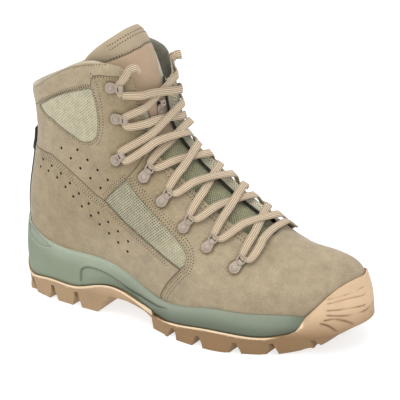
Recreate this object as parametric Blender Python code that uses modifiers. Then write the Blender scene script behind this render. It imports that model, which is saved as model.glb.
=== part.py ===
"""Hiking boot for the right foot, ankle high, laced through rings and hooks.

The boot is drawn in its own millimetres: x runs from the heel to the toe, y to the
inner side of the foot, z up from the floor. The upper is a net of columns that rise
from the sole round the whole foot to the collar, the throat or the vamp ridge. One row
of FORM gives the column pair of one station, outer and inner side. Sole, bumper,
tongue, rings and lace are all placed from that same form.
"""
import math
from collections import namedtuple

import bmesh
import bpy
import numpy as np
from mathutils import Matrix, Vector
from mathutils.bvhtree import BVHTree

# ---------------------------------------------------------------- driving sizes, mm
MM = 0.001
CENTRE_X = 145.43       # middle of the length, so that the origin is under the middle
CENTRE_Y = -0.486       # middle of the width
FIT = 0.45              # gap between curved pieces that meet
FLAT_FIT = 0.3          # gap between level faces that meet
WALL = 2.6              # leather with its lining
COLLAR_WALL = 5.0       # the padded collar
COLLAR_PAD_Z = 150.0    # the padding starts here
COLLAR_PAD_X = 112.0    # and ends here, behind the throat
PAD_FADE = 20.0         # the wall thickens over this length
INSOLE = 3.5
LEDGE = 0.9             # the outsole's rim stands out this far under the midsole
CORE_INSET = 9.0        # sole faces inside the rim are level from here inwards
CORE_CLEAR = 5.0        # least midsole under the floor
CORE_TOP = 22.0         # highest the outsole reaches inside its rim
LACE_WIDE = 6.4
LACE_THICK = 1.7
BUMPER_NEAR = 8.0       # sole edge that is shaped with the bumper, by its height there
BUMPER_FADE = 5.0       # the bumper grows to its full section over this rise
BUMPER_FIT = 1.35       # gap behind the bumper
BUMPER_WALL = 5.6       # stands out from the girth
BUMPER_EDGE = 1.4       # thickness along its top edge
RIM_THIN = 2.0          # the midsole's top edge is at most this thick
RIM_DROP = 0.4          # its outer corner lies this far under the edge
RIM_FADE = 3.0          # above that edge the bumper closes in to the leather over this
LEDGE_HIGH = 1.2        # height of the step round the outsole
LEVEL_TREAD = 0.35      # lugs nearer the floor than this stand on it
SOLE_REACH = 80.0       # half width of the cutters that cross the whole sole

# ------------------------------------------------------------------ form of the foot
# A row is a station from the heel's back to the toe's tip: where the wall stands at its
# foot edge, at its widest girth, at the waist above and at its top edge, in mm. The
# outer side's y is taken with a minus sign.
Station = namedtuple(
    "Station",
    "name foot_x foot_z foot_out foot_in girth_x girth_z girth_out girth_in "
    "waist_x waist_z waist_out waist_in top_x top_z top_out top_in columns",
)
FORM = [
    Station("back", 1.8, 36, 0, 0, -3.4, 62, 0, 0, 10.6, 134, 0, 0, 10, 175, 0, 0, 2),
    Station("heel_corner", 8.8, 36, 19, 19, 4.9, 62, 23, 23, 17.4, 132, 21, 21, 17, 177, 21.5, 21.5, 3),
    Station("heel_side", 32, 36, 31, 30, 31, 61, 34.5, 34, 40, 130, 33, 33, 38, 187.5, 33, 33, 3),
    Station("ankle", 60, 35, 33, 32, 60, 60, 37, 36, 65, 128, 37, 36, 66, 203, 36.5, 36.5, 3),
    Station("collar_rise", 84, 34, 34, 31, 86, 60, 38.5, 36, 92, 130, 38, 37, 92, 210.5, 36.5, 36.5, 2),
    Station("collar_front", 104, 31, 35, 29, 106, 59, 40.5, 36, 113, 130, 38, 38, 119.5, 204.5, 29, 28, 1),
    Station("shaft_front", 113, 29, 35.5, 29, 116, 58, 41.5, 36.5, 121, 122, 39, 39, 123, 172, 21, 22, 2),
    Station("ankle_bend", 124, 26, 37, 29.5, 128, 56, 43, 38, 131, 108, 40.5, 40, 129, 142, 21, 22, 2),
    Station("instep_high", 138, 22, 40, 31, 143, 53, 45.5, 40.5, 148, 92, 42, 41, 147, 126, 21, 22, 3),
    Station("instep_mid", 158, 20, 43.5, 35, 163, 49, 48, 44, 170, 76, 43.5, 43, 174, 105, 21, 22, 3),
    Station("instep_low", 182, 21.5, 46.5, 41, 187, 46, 50.5, 48, 195, 65.5, 44, 44.5, 200, 89, 20, 21, 2),
    Station("throat_curve", 198, 22, 47, 44, 203, 45.5, 50.5, 49.5, 210, 61, 42.5, 43, 216, 82, 17, 18, 2),
    Station("throat_end", 212, 22, 45.5, 44.5, 216, 45.5, 49, 49.5, 222, 60.5, 39.5, 40.5, 223, 79, -1, 1, 2),
    Station("vamp", 232, 23, 39, 42, 236, 46, 42.5, 46.5, 239, 59, 33, 35.3, 240, 74, -3, 3, 3),
    Station("toe_box", 254, 25, 28.5, 36, 258, 47, 32, 40, 258.5, 60.5, 23, 29, 257, 71.5, -5, 5, 3),
    Station("toe_corner", 274, 28, 18, 25, 282.5, 49, 19.5, 26.5, 278.5, 62, 14, 20.5, 266, 70.5, -6.5, 6.5, 2),
    Station("toe_tip", 287, 30, -8, 8, 294.5, 50, -8, 8, 289.5, 63, -7.5, 7.5, 266, 70.5, -6.5, 6.5, 0),
]
RINGS_BETWEEN = (2, 3, 4)   # levels between foot, girth, waist and top
DENSE = 61                  # samples up a column when a height is looked for

# The sole at the same stations: height of the midsole's top edge, how far its belly and
# its lower edge stand off the girth, height of that lower edge, of the outsole's web
# between the lugs, of the lugs' own faces, of the toe bumper's top edge, and how far
# the outsole's wall draws in from its rim down to the ground.
Sole = namedtuple("Sole", "name rim_z belly line_z foot tread_z bumper_z tuck")
SOLE = [
    Sole("back", 64, 5.5, 33, 5.5, 0, 0, 4),
    Sole("heel_corner", 60, 5.3, 18, 4.5, 0, 0, 2),
    Sole("heel_side", 50, 4.0, 19.5, 4.0, 0, 0, 2.5),
    Sole("ankle", 47, 4.0, 18.5, 4.0, 0, 0, 2),
    Sole("collar_rise", 46.5, 4.0, 26, 3.5, 0, 0, 2),
    Sole("collar_front", 42, 3.5, 25.5, 2.0, 0, 0, 1),
    Sole("shaft_front", 37, 3.5, 22, 1.5, 0, 0, 0),
    Sole("ankle_bend", 31, 3.5, 16.5, 1.0, 0, 0, 0),
    Sole("instep_high", 26, 3.2, 12.5, 1.5, 0, 0, -1),
    Sole("instep_mid", 24.8, 4.0, 12.5, 3.5, 0, 0, -2),
    Sole("instep_low", 30, 5.0, 16.5, 5.0, 0, 0, -0.5),
    Sole("throat_curve", 32.5, 5.5, 17.5, 5.5, 0, 0, 0.5),
    Sole("throat_end", 32.3, 5.5, 17.0, 5.5, 0, 0, 3),
    Sole("vamp", 32, 5.0, 16, 5.5, 0, 12, 4),
    Sole("toe_box", 31, 3.0, 19.5, 5.3, 2.5, 21.5, 6),
    Sole("toe_corner", 30.5, 1.9, 22, 5.2, 9.5, 52.5, 11),
    Sole("toe_tip", 32, 1.9, 23.5, 5.2, 15, 56.5, 13),
]

# ---------------------------------------------------------------------- colour, finish
# name: (red, green, blue), roughness, metallic
FINISH = {
    "suede": ((0.46, 0.37, 0.24), 0.9, 0.0),
    "tongue_cloth": ((0.34, 0.34, 0.22), 0.85, 0.0),
    "midsole_foam": ((0.27, 0.34, 0.25), 0.7, 0.0),
    "outsole_rubber": ((0.66, 0.43, 0.25), 0.75, 0.0),
    "insole_felt": ((0.13, 0.12, 0.10), 0.95, 0.0),
    "painted_metal": ((0.48, 0.38, 0.32), 0.45, 0.5),
    "lace_weave": ((0.62, 0.46, 0.31), 0.85, 0.0),
}

for leftover in list(bpy.data.objects):
    bpy.data.objects.remove(leftover, do_unlink=True)

boot = bpy.data.collections.new("hiking_boot")
bpy.context.scene.collection.children.link(boot)
cutters = bpy.data.collections.new("cutters")
bpy.context.scene.collection.children.link(cutters)


def material(name):
    if name in bpy.data.materials:
        return bpy.data.materials[name]
    colour, roughness, metallic = FINISH[name]
    made = bpy.data.materials.new(name)
    made.use_nodes = True
    shader = made.node_tree.nodes["Principled BSDF"]
    shader.inputs["Base Color"].default_value = (*colour, 1)
    shader.inputs["Roughness"].default_value = roughness
    shader.inputs["Metallic"].default_value = metallic
    return made


def world(points):
    """Boot millimetres to metres about the origin."""
    return (np.atleast_2d(points) - (CENTRE_X, CENTRE_Y, 0)) * MM


def add_object(name, mesh, finish, collection=boot):
    made = bpy.data.objects.new(name, mesh)
    collection.objects.link(made)
    if not mesh.materials:
        mesh.materials.append(material(finish))
    if collection is cutters:
        made.hide_render = True
        made.display_type = "WIRE"
    return made


def mesh_of(name, points, faces, smooth=True, merge=0.02):
    """A mesh in metres from boot millimetres, its doubles merged and faces outward."""
    shape = bmesh.new()
    corners = [shape.verts.new(p) for p in world(points)]
    for face in faces:
        ring = [corners[i] for i in face]
        shape.faces.new(ring)
    bmesh.ops.remove_doubles(shape, verts=shape.verts, dist=merge * MM)
    bmesh.ops.dissolve_degenerate(shape, edges=shape.edges, dist=0.5 * merge * MM)
    if all(len(edge.link_faces) == 2 for edge in shape.edges):
        bmesh.ops.recalc_face_normals(shape, faces=shape.faces)
    mesh = bpy.data.meshes.new(name)
    shape.to_mesh(mesh)
    shape.free()
    if smooth:
        mesh.shade_smooth()
    return mesh


def evaluated(thing, name):
    """The object's mesh with its modifiers in it, on a new object in its place."""
    graph = bpy.context.evaluated_depsgraph_get()
    mesh = bpy.data.meshes.new_from_object(thing.evaluated_get(graph))
    mesh.transform(thing.matrix_world)
    bpy.data.objects.remove(thing, do_unlink=True)
    mesh.name = name
    return mesh


def cut(thing, tools, operation="DIFFERENCE"):
    for tool in tools:
        step = thing.modifiers.new(tool.name, "BOOLEAN")
        step.operation = operation
        step.object = tool
        step.solver = "EXACT"


# ------------------------------------------------------------------------ smooth curves
def knot_slopes(at, points, closed=False):
    """Slopes of the smoothest cubic through points; a closed one ends where it starts."""
    gap = np.diff(at)
    count = len(points) - 1 if closed else len(points)
    matrix = np.zeros((count, count))
    right = np.zeros((count, points.shape[1]))
    for i in range(count):
        if closed or 0 < i < count - 1:
            before, after = gap[i - 1], gap[i]
            last = points[i - 1] if i else points[-2]
            matrix[i, i - 1] += 1 / before
            matrix[i, i] += 2 / before + 2 / after
            matrix[i, (i + 1) % count] += 1 / after
            right[i] = 3 * ((points[i] - last) / before**2 + (points[i + 1] - points[i]) / after**2)
        else:
            inner, width = (1, gap[0]) if i == 0 else (count - 2, gap[-1])
            step = points[1] - points[0] if i == 0 else points[-1] - points[-2]
            matrix[i, i], matrix[i, inner] = 2, 1
            right[i] = 3 * step / width
    slopes = np.linalg.solve(matrix, right)
    return np.vstack([slopes, slopes[:1]]) if closed else slopes


def along(at, points, slopes, where):
    """Points of the cubic at the parameters where."""
    where = np.atleast_1d(where)
    i = np.clip(np.searchsorted(at, where, side="right") - 1, 0, len(at) - 2)
    width = (at[i + 1] - at[i])[:, None]
    s = ((where - at[i])[:, None]) / width
    return (
        (2 * s**3 - 3 * s**2 + 1) * points[i]
        + (s**3 - 2 * s**2 + s) * width * slopes[i]
        + (3 * s**2 - 2 * s**3) * points[i + 1]
        + (s**3 - s**2) * width * slopes[i + 1]
    )


def smooth(at, points, where, closed=False):
    at, points = np.asarray(at, float), np.asarray(points, float)
    return along(at, points, knot_slopes(at, points, closed), where)


# ------------------------------------------------------------------- columns of the form
LAST = len(FORM) - 1
NAMES = [row.name for row in FORM]
CORNER, THROAT_END = NAMES.index("collar_front"), NAMES.index("throat_end")
POLE = NAMES.index("toe_corner")


def level(row, part, side):
    """The row's point at foot, girth, waist or top; side -1 is outer and 1 inner."""
    value = getattr(row, f"{part}_out" if side < 0 else f"{part}_in")
    return np.array([getattr(row, f"{part}_x"), side * value, getattr(row, f"{part}_z")], float)


def station_places():
    """Parameter of each station: the mean of the two sides' distance round the girth."""
    total = np.zeros(len(FORM))
    for side in (-1, 1):
        points = np.array([level(row, "girth", side) for row in FORM])
        total[1:] += np.cumsum(np.linalg.norm(np.diff(points, axis=0), axis=1)) / 2
    return total


PLACES = station_places()
SIDE_AT = np.concatenate(
    [np.linspace(PLACES[i], PLACES[i + 1], FORM[i].columns + 1)[:-1] for i in range(LAST)] + [PLACES[-1:]]
)
SIDE_COUNT = len(SIDE_AT)


def loop_points(part):
    """Points of one level right round: back, outer side, toe, inner side, back."""
    outer = [level(row, part, -1) for row in FORM]
    inner = [level(row, part, 1) for row in FORM[:-1]]
    return np.array(outer + inner[::-1])


LOOP_PLACES = np.concatenate([PLACES, 2 * PLACES[-1] - PLACES[:-1][::-1]])
LOOP_AT = np.concatenate([SIDE_AT, 2 * PLACES[-1] - SIDE_AT[1:-1][::-1]])
COLUMN_COUNT = len(LOOP_AT)


def top_points():
    """The top edge: round the collar, down and up the throat, and the closed ridge."""
    tops = {side: [level(row, "top", side) for row in FORM] for side in (-1, 1)}
    collar = np.array(tops[1][CORNER:0:-1] + tops[-1][: CORNER + 1])
    collar_at = np.concatenate([-PLACES[CORNER:0:-1], PLACES[: CORNER + 1]])
    throat = np.array(tops[-1][CORNER : THROAT_END + 1] + tops[1][CORNER:THROAT_END][::-1])
    reach = PLACES[CORNER : THROAT_END + 1] - PLACES[THROAT_END]
    throat_at = np.concatenate([reach, -reach[:-1][::-1]])
    ridge = np.array(tops[-1][THROAT_END : POLE + 1])
    ridge_at = PLACES[THROAT_END : POLE + 1]
    made = []
    for place in LOOP_AT:
        side = -1 if place <= PLACES[-1] else 1
        t = place if side < 0 else 2 * PLACES[-1] - place
        if t <= PLACES[CORNER]:
            made.append(smooth(collar_at, collar, -side * t)[0])
        elif t < PLACES[THROAT_END]:
            made.append(smooth(throat_at, throat, -side * (t - PLACES[THROAT_END]))[0])
        else:
            made.append(smooth(ridge_at, ridge, min(t, PLACES[POLE]))[0])
    return np.array(made)


def ridge_slope(place):
    """Fall of the vamp's ridge, dz/dx, at a station parameter."""
    rows = FORM[THROAT_END : POLE + 1]
    at = PLACES[THROAT_END : POLE + 1]
    line = np.array([(row.top_x, row.top_z) for row in rows], float)
    place = min(max(place, at[0]), at[-1])
    step = smooth(at, line, min(place + 1, at[-1]))[0] - smooth(at, line, place - 1)[0]
    return step[1] / step[0]


def columns():
    """Every column as DENSE points from foot to top, and as the levels of the net."""
    levels = [smooth(LOOP_PLACES, loop_points(part), LOOP_AT, closed=True) for part in ("foot", "girth", "waist")]
    levels.append(top_points())
    dense, net = [], []
    for i, place in enumerate(LOOP_AT):
        points = np.array([each[i] for each in levels])
        at = np.concatenate([[0], np.cumsum(np.linalg.norm(np.diff(points, axis=0), axis=1))])
        slopes = knot_slopes(at, points)
        t = min(place, 2 * PLACES[-1] - place)
        start = PLACES[THROAT_END - 1]
        closed = np.clip((t - start) / (PLACES[THROAT_END] - start), 0, 1)
        if closed > 0:
            flat = (points[3] - points[2])[:2]
            flat = flat / np.linalg.norm(flat)
            level_end = np.array([flat[0], flat[1], ridge_slope(t) * flat[0]])
            slopes[3] = (1 - closed) * slopes[3] + closed * level_end / np.linalg.norm(level_end)
        steps = [np.linspace(at[k], at[k + 1], n, endpoint=False) for k, n in enumerate(RINGS_BETWEEN)]
        net.append(along(at, points, slopes, np.concatenate(steps + [at[-1:]])))
        dense.append(along(at, points, slopes, np.linspace(0, at[-1], DENSE)))
    return np.array(dense), np.array(net)


FIELD, NET = columns()


def outward():
    """Outward unit normals of FIELD."""
    round_it = np.roll(FIELD, -1, axis=0) - np.roll(FIELD, 1, axis=0)
    up = np.gradient(FIELD, axis=1)
    normal = np.cross(round_it, up)
    return normal / np.maximum(np.linalg.norm(normal, axis=2, keepdims=True), 1e-9)


NORMALS = outward()


def skin(i, z, off=0.0):
    """The outer face of column i at height z, moved off outwards."""
    heights = FIELD[i, :, 2]
    point = np.array([np.interp(z, heights, FIELD[i, :, k]) for k in range(3)])
    normal = np.array([np.interp(z, heights, NORMALS[i, :, k]) for k in range(3)])
    return point + normal / np.linalg.norm(normal) * off


def girth_point(i, z, off):
    """The girth of column i, moved off outwards in plan and set at height z."""
    k = int(np.argmin(np.abs(FIELD[i, :, 2] - GIRTH_Z[i])))
    normal = NORMALS[i, k, :2] / np.linalg.norm(NORMALS[i, k, :2])
    return np.array([*(FIELD[i, k, :2] + normal * off), z])


GIRTH_Z = smooth(LOOP_PLACES, loop_points("girth"), LOOP_AT, closed=True)[:, 2]
FOOT_Z = FIELD[:, 0, 2]
FLOOR_Z = FOOT_Z - FLAT_FIT


def sole_value(field):
    """One column of SOLE, read at every column of the form."""
    values = np.array([[getattr(row, field)] for row in SOLE], float)
    ring = np.vstack([values, values[:-1][::-1]])
    return smooth(LOOP_PLACES, ring, LOOP_AT, closed=True)[:, 0]


RIM_Z, BELLY, LINE_Z, SOLE_FOOT = (sole_value(f) for f in ("rim_z", "belly", "line_z", "foot"))
BUMPER_Z, TUCK = sole_value("bumper_z"), sole_value("tuck")
TREAD_Z = np.maximum(sole_value("tread_z"), 0)
TREAD_Z[TREAD_Z < LEVEL_TREAD] = 0.0
CORE_Z = np.minimum(np.minimum(LINE_Z, FLOOR_Z - CORE_CLEAR), CORE_TOP)


# ------------------------------------------------------------------------ closed shapes
def ring_faces(rings, count):
    """Quads between rings that each have count points."""
    faces = []
    for k in range(rings - 1):
        for i in range(count):
            j = (i + 1) % count
            faces.append((k * count + i, k * count + j, (k + 1) * count + j, (k + 1) * count + i))
    return faces


def cap_faces(start, count, flip):
    """Strips across a ring from the outer side to the inner one."""
    faces = []
    for i in range(count // 2):
        a, b = start + i, start + i + 1
        c, d = start + (count - i - 1) % count, start + (count - i) % count
        corner = list(dict.fromkeys([a, b, c, d]))
        faces.append(tuple(corner[::-1] if flip else corner))
    return faces


def split(faces):
    """Every quad as two triangles, parted from its first corner to its third."""
    made = []
    for face in faces:
        made += [(face[0], face[k], face[k + 1]) for k in range(1, len(face) - 1)]
    return made


def stacked(name, rings):
    """A closed mesh from rings listed from the top down; first and last are capped.

    Faces are split the same way in every such mesh, so that two pieces that meet
    have the same creases and keep their gap.
    """
    count = len(rings[0])
    last = (len(rings) - 1) * count
    faces = split(ring_faces(len(rings), count))
    faces += split(cap_faces(0, count, False)) + split(cap_faces(last, count, False))
    return mesh_of(name, np.vstack(rings), faces)


# -------------------------------------------------------------------------------- upper
def make_upper():
    """One leather shell, open at the collar, down the throat and underneath."""
    levels = NET.shape[1]
    points = NET.transpose(1, 0, 2).reshape(-1, 3)
    mesh = mesh_of("upper", points, ring_faces(levels, COLUMN_COUNT))
    upper = add_object("upper", mesh, "suede")
    pad = upper.vertex_groups.new(name="padding")
    for vertex in mesh.vertices:
        x, z = vertex.co.x / MM + CENTRE_X, vertex.co.z / MM
        share = np.clip((z - COLLAR_PAD_Z) / PAD_FADE, 0, 1) * np.clip((COLLAR_PAD_X - x) / PAD_FADE, 0, 1)
        pad.add([vertex.index], WALL / COLLAR_WALL * (1 - share) + share, "REPLACE")
    wall = upper.modifiers.new("wall", "SOLIDIFY")
    wall.thickness = COLLAR_WALL * MM
    wall.offset = -1
    wall.use_rim = True
    wall.vertex_group = "padding"
    return upper


make_upper()


# ------------------------------------------------------------------ midsole and outsole
def midsole_wall(i, off=0.0):
    """The midsole's outer face at column i from its top edge down, moved off outwards."""
    rim, line, thin = RIM_Z[i], LINE_Z[i], min(RIM_THIN, BELLY[i])
    upper_third, lower_third = (2 * rim + line) / 3, (rim + 2 * line) / 3
    return [
        skin(i, rim - RIM_DROP, FIT + thin + off),
        girth_point(i, upper_third, BELLY[i] + off) / 2 + skin(i, upper_third, FIT + BELLY[i] + off) / 2,
        girth_point(i, lower_third, BELLY[i] + off),
        girth_point(i, line, min(SOLE_FOOT[i], BELLY[i]) + off),
    ]


def make_midsole():
    """A foam tray: level floor, a wall that hugs the upper, and a wavy lower edge."""
    rings = [[], [], [], [], [], [], [], []]
    for i in range(COLUMN_COUNT):
        floor, rim = FLOOR_Z[i], RIM_Z[i]
        rings[0].append(skin(i, FOOT_Z[i], FIT) * (1, 1, 0) + (0, 0, floor))
        rings[1].append(skin(i, (floor + rim) / 2, FIT))
        rings[2].append(skin(i, rim, FIT))
        for k, point in enumerate(midsole_wall(i)):
            rings[3 + k].append(point)
        rings[7].append(girth_point(i, CORE_Z[i], -CORE_INSET))
    add_object("midsole", stacked("midsole", [np.array(r) for r in rings]), "midsole_foam")


make_midsole()


def bumper_inner(i, z):
    """Where the bumper's inner face stands at height z: clear of midsole and upper."""
    wall = np.array(midsole_wall(i, BUMPER_FIT))[::-1]
    if z > wall[-1, 2]:
        over_rim = max(0, 1 - (z - wall[-1, 2]) / RIM_FADE) * min(RIM_THIN, BELLY[i])
        return skin(i, z, BUMPER_FIT + over_rim)
    return np.array([np.interp(z, wall[:, 2], wall[:, k]) for k in (0, 1)] + [z])


def make_outsole():
    """One rubber solid: rim under the midsole, toe bumper, wall and a level tread."""
    rings = [[] for _ in range(14)]
    for i in range(COLUMN_COUNT):
        line = LINE_Z[i] - FLAT_FIT
        low = min(SOLE_FOOT[i], BELLY[i])
        rim = SOLE_FOOT[i] + LEDGE
        top = max(BUMPER_Z[i], line)
        share = np.clip((BUMPER_Z[i] - LINE_Z[i]) / BUMPER_FADE, 0, 1)
        third = (RIM_Z[i] - LINE_Z[i]) / 3
        rise = max(top - RIM_Z[i] - RIM_DROP, 0) / 4
        heights = [line, line + third, line + 2 * third] + [RIM_Z[i] + k * rise for k in range(1, 5)]
        inner = [bumper_inner(i, min(z, top)) for z in heights]
        edge = inner[-1] + (girth_point(i, top, BUMPER_EDGE) - girth_point(i, top, 0))
        belly = girth_point(i, (top + line) / 2, BUMPER_WALL)
        corner, ledge = girth_point(i, line, low), girth_point(i, line, rim)
        rings[0].append(girth_point(i, CORE_Z[i] - FLAT_FIT, -CORE_INSET))
        rings[1].append(corner)
        for k, point in enumerate(inner):
            beside = BUMPER_Z[i] > BUMPER_NEAR
            stood = girth_point(i, line, low + LEDGE / 2) if beside else corner
            rings[2 + k].append(point if share > 0 else stood)
        rings[9].append((1 - share) * ledge + share * edge)
        rings[10].append((1 - share) * ledge + share * (edge + belly * (1, 1, 0) + (0, 0, belly[2])) / 2)
        rings[11].append((1 - share) * ledge + share * belly)
        rings[12].append(girth_point(i, line - LEDGE_HIGH, rim))
        rings[13].append(girth_point(i, TREAD_Z[i], rim - TUCK[i]))
    mesh = stacked("outsole", [np.array(r) for r in rings[::-1]])
    return add_object("outsole", mesh, "outsole_rubber")


def prism_faces(count):
    """Faces of a prism between two like rings of count points."""
    sides = [(i, (i + 1) % count, count + (i + 1) % count, count + i) for i in range(count)]
    return [tuple(range(count))[::-1], tuple(range(count, 2 * count))] + sides


def prisms(name, solids):
    """One mesh from separate prisms, each a pair of rings."""
    points, faces = [], []
    for first, second in solids:
        start = len(points)
        points += list(first) + list(second)
        faces += [tuple(start + k for k in face) for face in prism_faces(len(first))]
    return mesh_of(name, np.array(points), faces, smooth=False)


def side_groove(x, wide, top_z, inner_y, side):
    """A tapering groove from outside the sole in to inner_y, leaning to the toe."""
    near, far = side * inner_y, side * SOLE_REACH
    half, roof = wide / 2, wide * GROOVE_ROOF / 2
    rings = []
    for y, lean in ((near, GROOVE_LEAN), (far, 0)):
        at = x + lean
        rings.append([(at - half, y, -2), (at + half, y, -2), (at + roof, y, top_z), (at - roof, y, top_z)])
    return rings


# The arch between heel and forefoot in side view, x and z.
Bend = namedtuple("Bend", "x z")
ARCH = [
    Bend(78, -2), Bend(93, 17.2), Bend(108, 15.2), Bend(120, 13),
    Bend(131, 7.5), Bend(141, 3.5), Bend(152, 1.5), Bend(158, -2),
]
# Grooves between the lugs: middle, width at the ground, height of the roof.
Groove = namedtuple("Groove", "x wide top_z")
GROOVES = [
    Groove(6.5, 6, 12.5), Groove(32, 6.5, 13.5), Groove(57, 7, 13.5), Groove(157, 6.5, 8),
    Groove(182.5, 7, 9), Groove(214, 6.5, 10), Groove(240, 6.5, 11), Groove(267, 6, 13.5),
]
# Grooves across the middle row of lugs, set between the side ones.
MIDDLE_GROOVES = [
    Groove(20, 5, 11.5), Groove(45, 5, 12), Groove(170, 5, 7.5),
    Groove(198, 5, 8.5), Groove(227, 5, 9), Groove(254, 5, 10),
]
GROOVE_LEAN = 4.0       # the inner end of a side groove is this much nearer the toe
GROOVE_ROOF = 0.5       # roof width as a share of the width at the ground
GROOVE_INNER = 12.0     # side grooves stop this far from the middle
CHANNEL_INNER = 9.0     # the two channels along the sole lie outside this
CHANNEL_WIDE = 4.5
CHANNEL_DRAFT = 0.8     # each side of a channel leans in by this much
# The channels' stretches along the sole: start, end, roof height.
Channel = namedtuple("Channel", "start end top_z")
CHANNELS = [Channel(-2, 90, 10.5), Channel(146, 262, 7)]


def arch_cutter():
    rings = [[(bend.x, y, bend.z) for bend in ARCH] for y in (-SOLE_REACH, SOLE_REACH)]
    return add_object("arch_cutter", prisms("arch_cutter", [rings]), "outsole_rubber", cutters)


def groove_cutter():
    solids = [side_groove(*groove, GROOVE_INNER, side) for groove in GROOVES for side in (-1, 1)]
    return add_object("groove_cutter", prisms("groove_cutter", solids), "outsole_rubber", cutters)


def channel_cutter():
    solids = []
    for channel in CHANNELS:
        for side in (-1, 1):
            a, b = sorted((side * CHANNEL_INNER, side * (CHANNEL_INNER + CHANNEL_WIDE)))
            rings = []
            for x in (channel.start, channel.end):
                roof = channel.top_z
                rings.append([(x, a, -3), (x, b, -3), (x, b - CHANNEL_DRAFT, roof), (x, a + CHANNEL_DRAFT, roof)])
            solids.append(rings)
    return add_object("channel_cutter", prisms("channel_cutter", solids), "outsole_rubber", cutters)


def middle_cutter():
    solids = []
    reach = CHANNEL_INNER + CHANNEL_WIDE / 2
    for x, wide, top_z in MIDDLE_GROOVES:
        half, roof = wide / 2, wide * GROOVE_ROOF / 2
        ring = ((x - half, -2.5), (x + half, -2.5), (x + roof, top_z), (x - roof, top_z))
        solids.append([[(px, y, pz) for px, pz in ring] for y in (-reach, reach)])
    return add_object("middle_cutter", prisms("middle_cutter", solids), "outsole_rubber", cutters)


outsole = make_outsole()
cut(outsole, [arch_cutter(), groove_cutter(), channel_cutter(), middle_cutter()])


# ------------------------------------------------------------------------------- insole
INSOLE_GAP = 0.8        # between the footbed's edge and the upper's inner face


def make_insole():
    """A felt-topped footbed inside the upper's foot edge, lying on the midsole."""
    inset = -(WALL + INSOLE_GAP)
    rings = [[], []]
    for i in range(COLUMN_COUNT):
        rings[0].append(skin(i, FOOT_Z[i], inset) * (1, 1, 0) + (0, 0, FOOT_Z[i]))
        rings[1].append(skin(i, FOOT_Z[i], inset) * (1, 1, 0) + (0, 0, FOOT_Z[i] + INSOLE))
    add_object("insole", stacked("insole", [np.array(r) for r in rings]), "insole_felt")


make_insole()


# ------------------------------------------------------------------------------- tongue
# Sections of the tongue from its root under the vamp up to its cuff: the middle of its
# outer face, its half width, how far its sides fall back at that width, its thickness,
# the power of that fall (flat across and then steep, where it is high), how its columns
# spread (closer to the sides, where it is under 1), how far its middle leans to the
# outer side, and how far its sides droop.
Section = namedtuple("Section", "x z half fall thick power spread lean droop", defaults=(2.4, 1.0, 0, 0))
TONGUE = [
    Section(232, 71.3, 14, 3.4, 3.0),
    Section(222, 75.2, 18, 4.6, 3.0),
    Section(208, 83.5, 23, 5.0, 3.2),
    Section(190, 94.3, 26, 9.4, 3.6),
    Section(174, 104.2, 28, 10.4, 4.0),
    Section(158, 115.8, 29, 11.4, 4.5),
    Section(145, 126.8, 29, 13.0, 5.0),
    Section(131, 141.3, 29, 11.6, 5.5),
    Section(123.5, 156, 29, 9.5, 6.0),
    Section(122, 172, 29, 10, 6.5),
    Section(120.5, 190, 26, 13, 6.5),
    Section(117, 207, 26, 22, 7.0, 3.0, 0.85, 0.5, 0),
    Section(112.5, 219, 25.5, 33, 7.0, 3.2, 0.75, 1.5, 1),
    Section(105.2, 230.6, 25.5, 42.5, 5.0, 2.8, 0.75, 3.5, 5),
]
TONGUE_STEPS = 21       # rows along it
TONGUE_COLUMNS = 10     # columns across it


def tongue_at(where):
    """Section numbers along the tongue, 0 at its root and 1 at its cuff."""
    line = np.array([(row.x, row.z) for row in TONGUE], float)
    at = np.concatenate([[0], np.cumsum(np.linalg.norm(np.diff(line, axis=0), axis=1))])
    values = np.array([tuple(row) for row in TONGUE], float)
    here = smooth(at, values, np.atleast_1d(where) * at[-1])
    ahead = smooth(at, values, np.clip(np.atleast_1d(where) + 0.005, 0, 1) * at[-1])
    behind = smooth(at, values, np.clip(np.atleast_1d(where) - 0.005, 0, 1) * at[-1])
    run = ahead[:, :2] - behind[:, :2]
    run /= np.linalg.norm(run, axis=1, keepdims=True)
    return here, run


def make_tongue():
    """A padded strip whose sides fall back under the throat's edges and wrap the cuff."""
    where = np.linspace(0, 1, TONGUE_STEPS)
    here, run = tongue_at(where)
    turns = np.linspace(-1, 1, TONGUE_COLUMNS + 1)
    grid, body = [], []
    for (x, z, half, fall, thick, power, spread, lean, droop), (rx, rz) in zip(here, run):
        across_it = np.sign(turns) * np.abs(turns) ** spread
        share = np.abs(across_it) ** power
        front = np.array([rz, 0, -rx])
        flat = np.array([x, -lean, z]) + np.outer(across_it * half, (0, 1, 0)) - np.outer(fall * share, front)
        grid.append(flat - np.outer(droop * share**4, (0, 0, 1)))
        body.append(thick * (1 - 0.5 * np.abs(turns) ** 4))
    grid, body = np.array(grid), np.array(body)
    facing = np.cross(np.gradient(grid, axis=1), np.gradient(grid, axis=0))
    facing /= np.linalg.norm(facing, axis=2, keepdims=True)
    outer = list(grid.reshape(-1, 3))
    inner = list((grid - facing * body[:, :, None]).reshape(-1, 3))
    across = TONGUE_COLUMNS + 1
    total = len(outer)
    faces = []
    for i in range(TONGUE_STEPS - 1):
        for j in range(TONGUE_COLUMNS):
            a = i * across + j
            faces.append((a, a + 1, a + across + 1, a + across))
            faces.append((total + a, total + a + across, total + a + across + 1, total + a + 1))
    rim = list(range(across)) + [k * across + across - 1 for k in range(1, TONGUE_STEPS)]
    rim += [(TONGUE_STEPS - 1) * across + k for k in range(across - 2, -1, -1)]
    rim += [k * across for k in range(TONGUE_STEPS - 2, 0, -1)]
    for k, a in enumerate(rim):
        b = rim[(k + 1) % len(rim)]
        faces.append((b, a, total + a, total + b))
    mesh = mesh_of("tongue", np.array(outer + inner), faces)
    add_object("tongue", mesh, "tongue_cloth")


make_tongue()


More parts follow.
